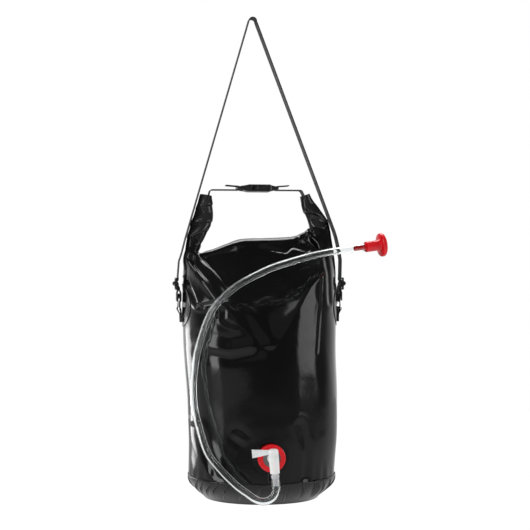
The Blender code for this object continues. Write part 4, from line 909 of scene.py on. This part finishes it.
def webbing(finish):
    """The shoulder strap, and on each side the ring tab and the closure strap."""
    top = arc((0, -PEG_RADIUS), PEG_RADIUS + STRAP_THICKNESS / 2, 180, 0, 16)
    strap = list(reversed(strap_side(-1))) + top[1:-1] + strap_side(1)
    band("shoulder_strap_web", strap, STRAP_THICKNESS, finish, "strap", "shoulder_strap")
    for side, label in ((-1, "left"), (1, "right")):
        band(label + "_ring_tab_web", ring_tab_path(side), TAB_THICKNESS, finish, "bag", label + "_ring_tab",
             TAB_WIDTH)
        band(label + "_closure_web", closure_path(side), CLOSURE_THICKNESS, finish, "bag",
             label + "_closure_webbing")


# Hose

def hose_path():
    """Along the spout, through the route's points and over the barb."""
    down = Vector((sin(TAP_TILT), 0, -cos(TAP_TILT)))
    along = Vector((cos(HEAD_LIFT) * cos(HEAD_TURN), cos(HEAD_LIFT) * sin(HEAD_TURN), sin(HEAD_LIFT)))
    start = Vector((PORT_X, -BARREL_FRONT, PORT_Z)) + down * SPOUT_END
    end = Vector(HOSE_END)
    route = [start, start + down * HOSE_LEAD]
    route += [Vector(p) for p in HOSE_ROUTE]
    route += [end - along * HOSE_LEAD, end]
    spout = [start - down * HOSE_OVER_SPOUT * (1 - k / 4) for k in range(4)]
    barb = [end + along * HOSE_OVER_BARB * k / 4 for k in range(1, 5)]
    return spout + catmull(route, HOSE_STEPS) + barb


def frames_on(path):
    """Two cross directions at each point, carried along without twist."""
    directions = along_path(path)
    first = directions[0].cross(Vector((0, 1, 0))).normalized()
    found = []
    for direction in directions:
        first = (first - direction * first.dot(direction)).normalized()
        found.append((first, direction.cross(first)))
    return found


def hose_tube(finish):
    """A clear hollow tube with open, cut ends, wider where it is pushed over its fittings."""
    path = hose_path()
    travel = [0.0]
    for a, b in zip(path, path[1:]):
        travel.append(travel[-1] + (b - a).length)
    length = travel[-1]
    turns = [2 * pi * k / HOSE_SIDES for k in range(HOSE_SIDES)]
    rows = []
    for wide, slim, order in ((HOSE_RADIUS, HOSE_SLIM_RADIUS, 1), (HOSE_BORE, HOSE_SLIM_BORE, -1)):
        for p, (a, b), gone in list(zip(path, frames_on(path), travel))[::order]:
            on_spout = 1 - smooth_step(HOSE_OVER_SPOUT, HOSE_OVER_SPOUT + HOSE_SLIM_AFTER, gone)
            left = length - gone
            on_barb = 1 - smooth_step(HOSE_OVER_BARB, HOSE_OVER_BARB + HOSE_SLIM_AFTER, left)
            radius = slim + (wide - slim) * max(on_spout, on_barb)
            rows.append([p + a * radius * cos(turn) + b * radius * sin(turn) for turn in turns])
    rows.append(rows[0])
    tube = show("clear_hose", grid_mesh("clear_hose", rows, True), finish, "bag", 50)
    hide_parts("hose")


# Shader nodes

def add(tree, kind, numbers=None, links=None, **settings):
    """A shader node: settings go on the node itself, numbers and links on its inputs."""
    made = tree.nodes.new("ShaderNode" + kind)
    for key, value in settings.items():
        setattr(made, key, value)
    for key, value in (numbers or {}).items():
        made.inputs[key].default_value = value
    for key, source in (links or {}).items():
        tree.links.new(source, made.inputs[key])
    return made


def combined(tree, operation, a, b):
    """Two values joined by a maths operation."""
    return add(tree, "Math", links={0: a, 1: b}, operation=operation).outputs[0]


def mixed(tree, share, first, second):
    """The first shader, and the second one by its share."""
    return add(tree, "MixShader", links={"Fac": share, 1: first.outputs[0], 2: second.outputs[0]})


def mapped(tree, value, source, target, soft=False):
    """A value carried from one range to another."""
    numbers = {"From Min": source[0], "From Max": source[1], "To Min": target[0], "To Max": target[1]}
    blend = "SMOOTHSTEP" if soft else "LINEAR"
    return add(tree, "MapRange", numbers, {"Value": value}, interpolation_type=blend).outputs["Result"]


def noise_field(tree, scale, detail, stretch=None):
    """Noise in the piece's own coordinates."""
    where = add(tree, "TexCoord").outputs["Object"]
    if stretch:
        where = add(tree, "Mapping", {"Scale": stretch}, {"Vector": where}).outputs["Vector"]
    return add(tree, "TexNoise", {"Scale": scale, "Detail": detail}, {"Vector": where}).outputs["Fac"]


def vary(tree, shader, field, low, high):
    """Let the roughness follow a noise field."""
    tree.links.new(mapped(tree, field, NOISE_SPAN, (low, high)), shader.inputs["Roughness"])


def tint(tree, shader, field, dark, light):
    """Let the colour follow a noise field."""
    ramp = add(tree, "ValToRGB", links={"Fac": field})
    for stop, place, colour in zip(ramp.color_ramp.elements, TINT_STOPS, (dark, light)):
        stop.position = place
        stop.color = (*colour, 1)
    tree.links.new(ramp.outputs["Color"], shader.inputs["Base Color"])


def raise_bumps(tree, shader, layers):
    """Stack bump layers: (height field, strength, distance)."""
    links = {}
    for height, strength, distance in layers:
        links["Height"] = height
        bump = add(tree, "Bump", {"Strength": strength, "Distance": distance}, links)
        links["Normal"] = bump.outputs["Normal"]
    tree.links.new(links["Normal"], shader.inputs["Normal"])


# Finishes

def surface(name, colour, numbers):
    """A material and its shader, with numbers set on the shader's own inputs."""
    made = bpy.data.materials.new(name)
    made.use_nodes = True
    shader = made.node_tree.nodes["Principled BSDF"]
    shader.inputs["Base Color"].default_value = (*colour, 1.0)
    for key, value in numbers.items():
        shader.inputs[key].default_value = value
    return made, shader


def pvc_finish(name, dark, light, rough_low, rough_high):
    """Coated fabric: a smooth skin with a faint scrim and slow wrinkles under it."""
    made, shader = surface(name, dark, {"Roughness": rough_low, "Specular IOR Level": 0.36})
    tree = made.node_tree
    broad = noise_field(tree, scale=7.0, detail=3.0)
    scrim = noise_field(tree, scale=420.0, detail=2.0)
    wrinkle = noise_field(tree, scale=34.0, detail=5.0, stretch=(1.0, 1.0, 0.6))
    tint(tree, shader, broad, dark, light)
    vary(tree, shader, broad, rough_low, rough_high)
    raise_bumps(tree, shader, [(wrinkle, 0.25, 0.0015), (scrim, 0.10, 0.0002)])
    return made


def web_finish(name, colour):
    """Woven webbing: fine ribs across the band and finer ends along it."""
    made, shader = surface(name, colour, {"Roughness": 0.75, "Sheen Weight": 0.15})
    tree = made.node_tree
    where = add(tree, "UVMap", uv_map="weave").outputs["UV"]
    ribs = add(tree, "TexWave", {"Scale": 250.0, "Distortion": 0.6}, {"Vector": where}, bands_direction="Y")
    ends = add(tree, "TexWave", {"Scale": 330.0}, {"Vector": where}, bands_direction="X")
    tint(tree, shader, noise_field(tree, scale=260.0, detail=3.0), colour, tuple(c * 2.2 for c in colour))
    raise_bumps(tree, shader, [(ribs.outputs["Fac"], 0.6, 0.0004), (ends.outputs["Fac"], 0.5, 0.0003)])
    return made


def moulded_finish(name, dark, light, roughness, grain, strength, more=None):
    """Moulded plastic, rubber or plated wire: a slow tint, uneven gloss and a fine grain."""
    made, shader = surface(name, dark, {"Roughness": roughness, **(more or {})})
    tree = made.node_tree
    tint(tree, shader, noise_field(tree, scale=60.0, detail=3.0), dark, light)
    vary(tree, shader, noise_field(tree, scale=90.0, detail=4.0), roughness * 0.85, roughness * 1.2)
    raise_bumps(tree, shader, [(noise_field(tree, scale=grain, detail=2.0), strength, 0.0003)])
    return made


def clear_finish():
    """Clear soft tube."""
    numbers = {"Roughness": 0.06, "Transmission Weight": 1.0, "IOR": 1.40}
    made, shader = surface("clear_tube", (0.93, 0.95, 0.95), numbers)
    vary(made.node_tree, shader, noise_field(made.node_tree, scale=18.0, detail=2.0), 0.0, 0.03)
    return made


def finishes():
    """Every finish, by a short name."""
    return {
        "clear": clear_finish(),
        "pvc": pvc_finish("glossy_black_pvc", (0.003, 0.003, 0.0033), (0.007, 0.007, 0.0073), 0.10, 0.15),
        # The base cup: black PVC whose colour is lifted above the bag's as painted light, standing in for
        # the floor it mirrors.
        "base": pvc_finish("base_pvc_with_painted_light", (0.007, 0.007, 0.0075), (0.016, 0.016, 0.0165), 0.15, 0.23),
        # The arms' finish: the bag's black PVC, a little rougher where creased, with its colour lifted well
        # above the bag's as painted light on the arms.
        "creased_with_painted_light": pvc_finish("arm_pvc_with_painted_light", (0.012, 0.012, 0.013), (0.034, 0.034, 0.035), 0.13, 0.22),
        "weld": pvc_finish("welded_black_pvc", (0.002, 0.002, 0.002), (0.005, 0.005, 0.005), 0.14, 0.22),
        "web": web_finish("woven_black_web", (0.008, 0.008, 0.009)),
        "black": moulded_finish("moulded_black", (0.008, 0.008, 0.008), (0.016, 0.016, 0.016), 0.36,
                                380.0, 0.08),
        "steel": moulded_finish("plated_wire", (0.62, 0.63, 0.64), (0.75, 0.76, 0.77), 0.20, 200.0, 0.04,
                                {"Metallic": 1.0}),
        "red": moulded_finish("moulded_red", (0.68, 0.003, 0.009), (0.78, 0.007, 0.015), 0.22, 300.0, 0.03),
        "white": moulded_finish("milky_white", (0.84, 0.85, 0.85), (0.90, 0.90, 0.90), 0.30, 260.0, 0.03,
                                {"Subsurface Weight": 0.15, "Subsurface Scale": 0.0012}),
        "grey": moulded_finish("grey_rubber", (0.13, 0.16, 0.16), (0.19, 0.22, 0.22), 0.5, 500.0, 0.15),
        "rubber": moulded_finish("black_rubber", (0.015, 0.015, 0.015), (0.025, 0.025, 0.025), 0.6,
                                 500.0, 0.15),
    }


def repaint(names, finish):
    """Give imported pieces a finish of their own."""
    for name in names:
        materials = frame["nodes"][name].data.materials
        materials.clear()
        materials.append(finish)


# Studio

def world():
    """White to the camera and, through clear pieces, towards the back; a dimmer room to light and mirror."""
    made = bpy.data.worlds.new("studio")
    bpy.context.scene.world = made
    made.use_nodes = True
    tree = made.node_tree
    tree.nodes.clear()
    ray = add(tree, "LightPath").outputs
    axes = add(tree, "SeparateXYZ", links={0: add(tree, "TexCoord").outputs["Generated"]}).outputs
    back = mapped(tree, axes["Y"], BACKDROP_FADE, (ROOM_REFLECTION, 1.0), True)
    above = mapped(tree, axes["Z"], ABOVE_FADE, (1.0, ROOM_ABOVE))
    behind = mapped(tree, axes["Y"], CLEAR_FADE, (0.0, 1.0), True)
    strength = combined(tree, "MULTIPLY", back, above)
    through = combined(tree, "MULTIPLY", ray["Is Transmission Ray"], behind)
    seen = combined(tree, "MAXIMUM", ray["Is Camera Ray"], through)
    mirrored = combined(tree, "MAXIMUM", ray["Is Glossy Ray"], ray["Is Transmission Ray"])
    white = add(tree, "Background", {"Color": WHITE})
    soft = add(tree, "Background", {"Color": WHITE, "Strength": ROOM_LIGHT})
    reflected = add(tree, "Background", {"Color": WHITE}, {"Strength": strength})
    room = mixed(tree, seen, mixed(tree, mirrored, soft, reflected), white)
    add(tree, "OutputWorld", links={"Surface": room.outputs[0]})


def area_light(name, place, aim, width, height, power):
    """A rectangular lamp at a place, turned to its aim."""
    lamp = bpy.data.lights.new(name, "AREA")
    lamp.shape = "RECTANGLE"
    lamp.size = width
    lamp.size_y = height
    lamp.energy = power
    made = bpy.data.objects.new(name, lamp)
    made.location = place
    made.rotation_euler = (Vector(aim) - Vector(place)).to_track_quat("-Z", "Y").to_euler()
    bpy.context.scene.collection.objects.link(made)


def floor_finish():
    """Pale floor: nearly white to the camera and through clear pieces, with the object's shadow kept."""
    made, shader = surface("pale_floor", FLOOR_COLOUR, {"Roughness": FLOOR_ROUGHNESS})
    tree = made.node_tree
    ray = add(tree, "LightPath").outputs
    seen = combined(tree, "MAXIMUM", ray["Is Camera Ray"], ray["Is Transmission Ray"])
    share = add(tree, "Math", {1: FLOOR_GLOW}, {0: seen}, operation="MULTIPLY").outputs[0]
    glow = add(tree, "Emission", {"Strength": FLOOR_WHITE})
    both = mixed(tree, share, shader, glow)
    tree.links.new(both.outputs[0], tree.nodes["Material Output"].inputs["Surface"])
    return made


def floor():
    """The plain floor under the hanging bag."""
    built = bmesh.new()
    bmesh.ops.create_grid(built, x_segments=1, y_segments=1, size=FLOOR_REACH)
    mesh = bpy.data.meshes.new("floor")
    built.to_mesh(mesh)
    built.free()
    made = bpy.data.objects.new("floor", mesh)
    made.location = (0, 0, FLOOR_Z)
    bpy.context.scene.collection.objects.link(made)
    mesh.materials.append(floor_finish())


def camera():
    """The photograph's camera."""
    data = bpy.data.cameras.new("camera")
    data.sensor_width = SENSOR_MM
    data.lens = LENS_MM
    made = bpy.data.objects.new("camera", data)
    made.location = CAMERA_PLACE
    made.rotation_euler = Vector(CAMERA_LOOK).to_track_quat("-Z", "Y").to_euler()
    bpy.context.scene.collection.objects.link(made)
    bpy.context.scene.camera = made


def main():
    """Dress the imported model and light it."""
    bpy.context.scene.view_settings.view_transform = "Standard"
    finish = finishes()
    hose_tube(finish["clear"])
    bag_skin(finish["pvc"])
    base_skin(finish["base"])
    welded_sheets(finish["weld"])
    mouth_skin(finish["creased_with_painted_light"])
    webbing(finish["web"])
    for use, names in REPAINTED:
        repaint(names, finish[use])

    world()
    floor()
    for lamp in LAMPS:
        area_light(*lamp)
    camera()

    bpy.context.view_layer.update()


main()
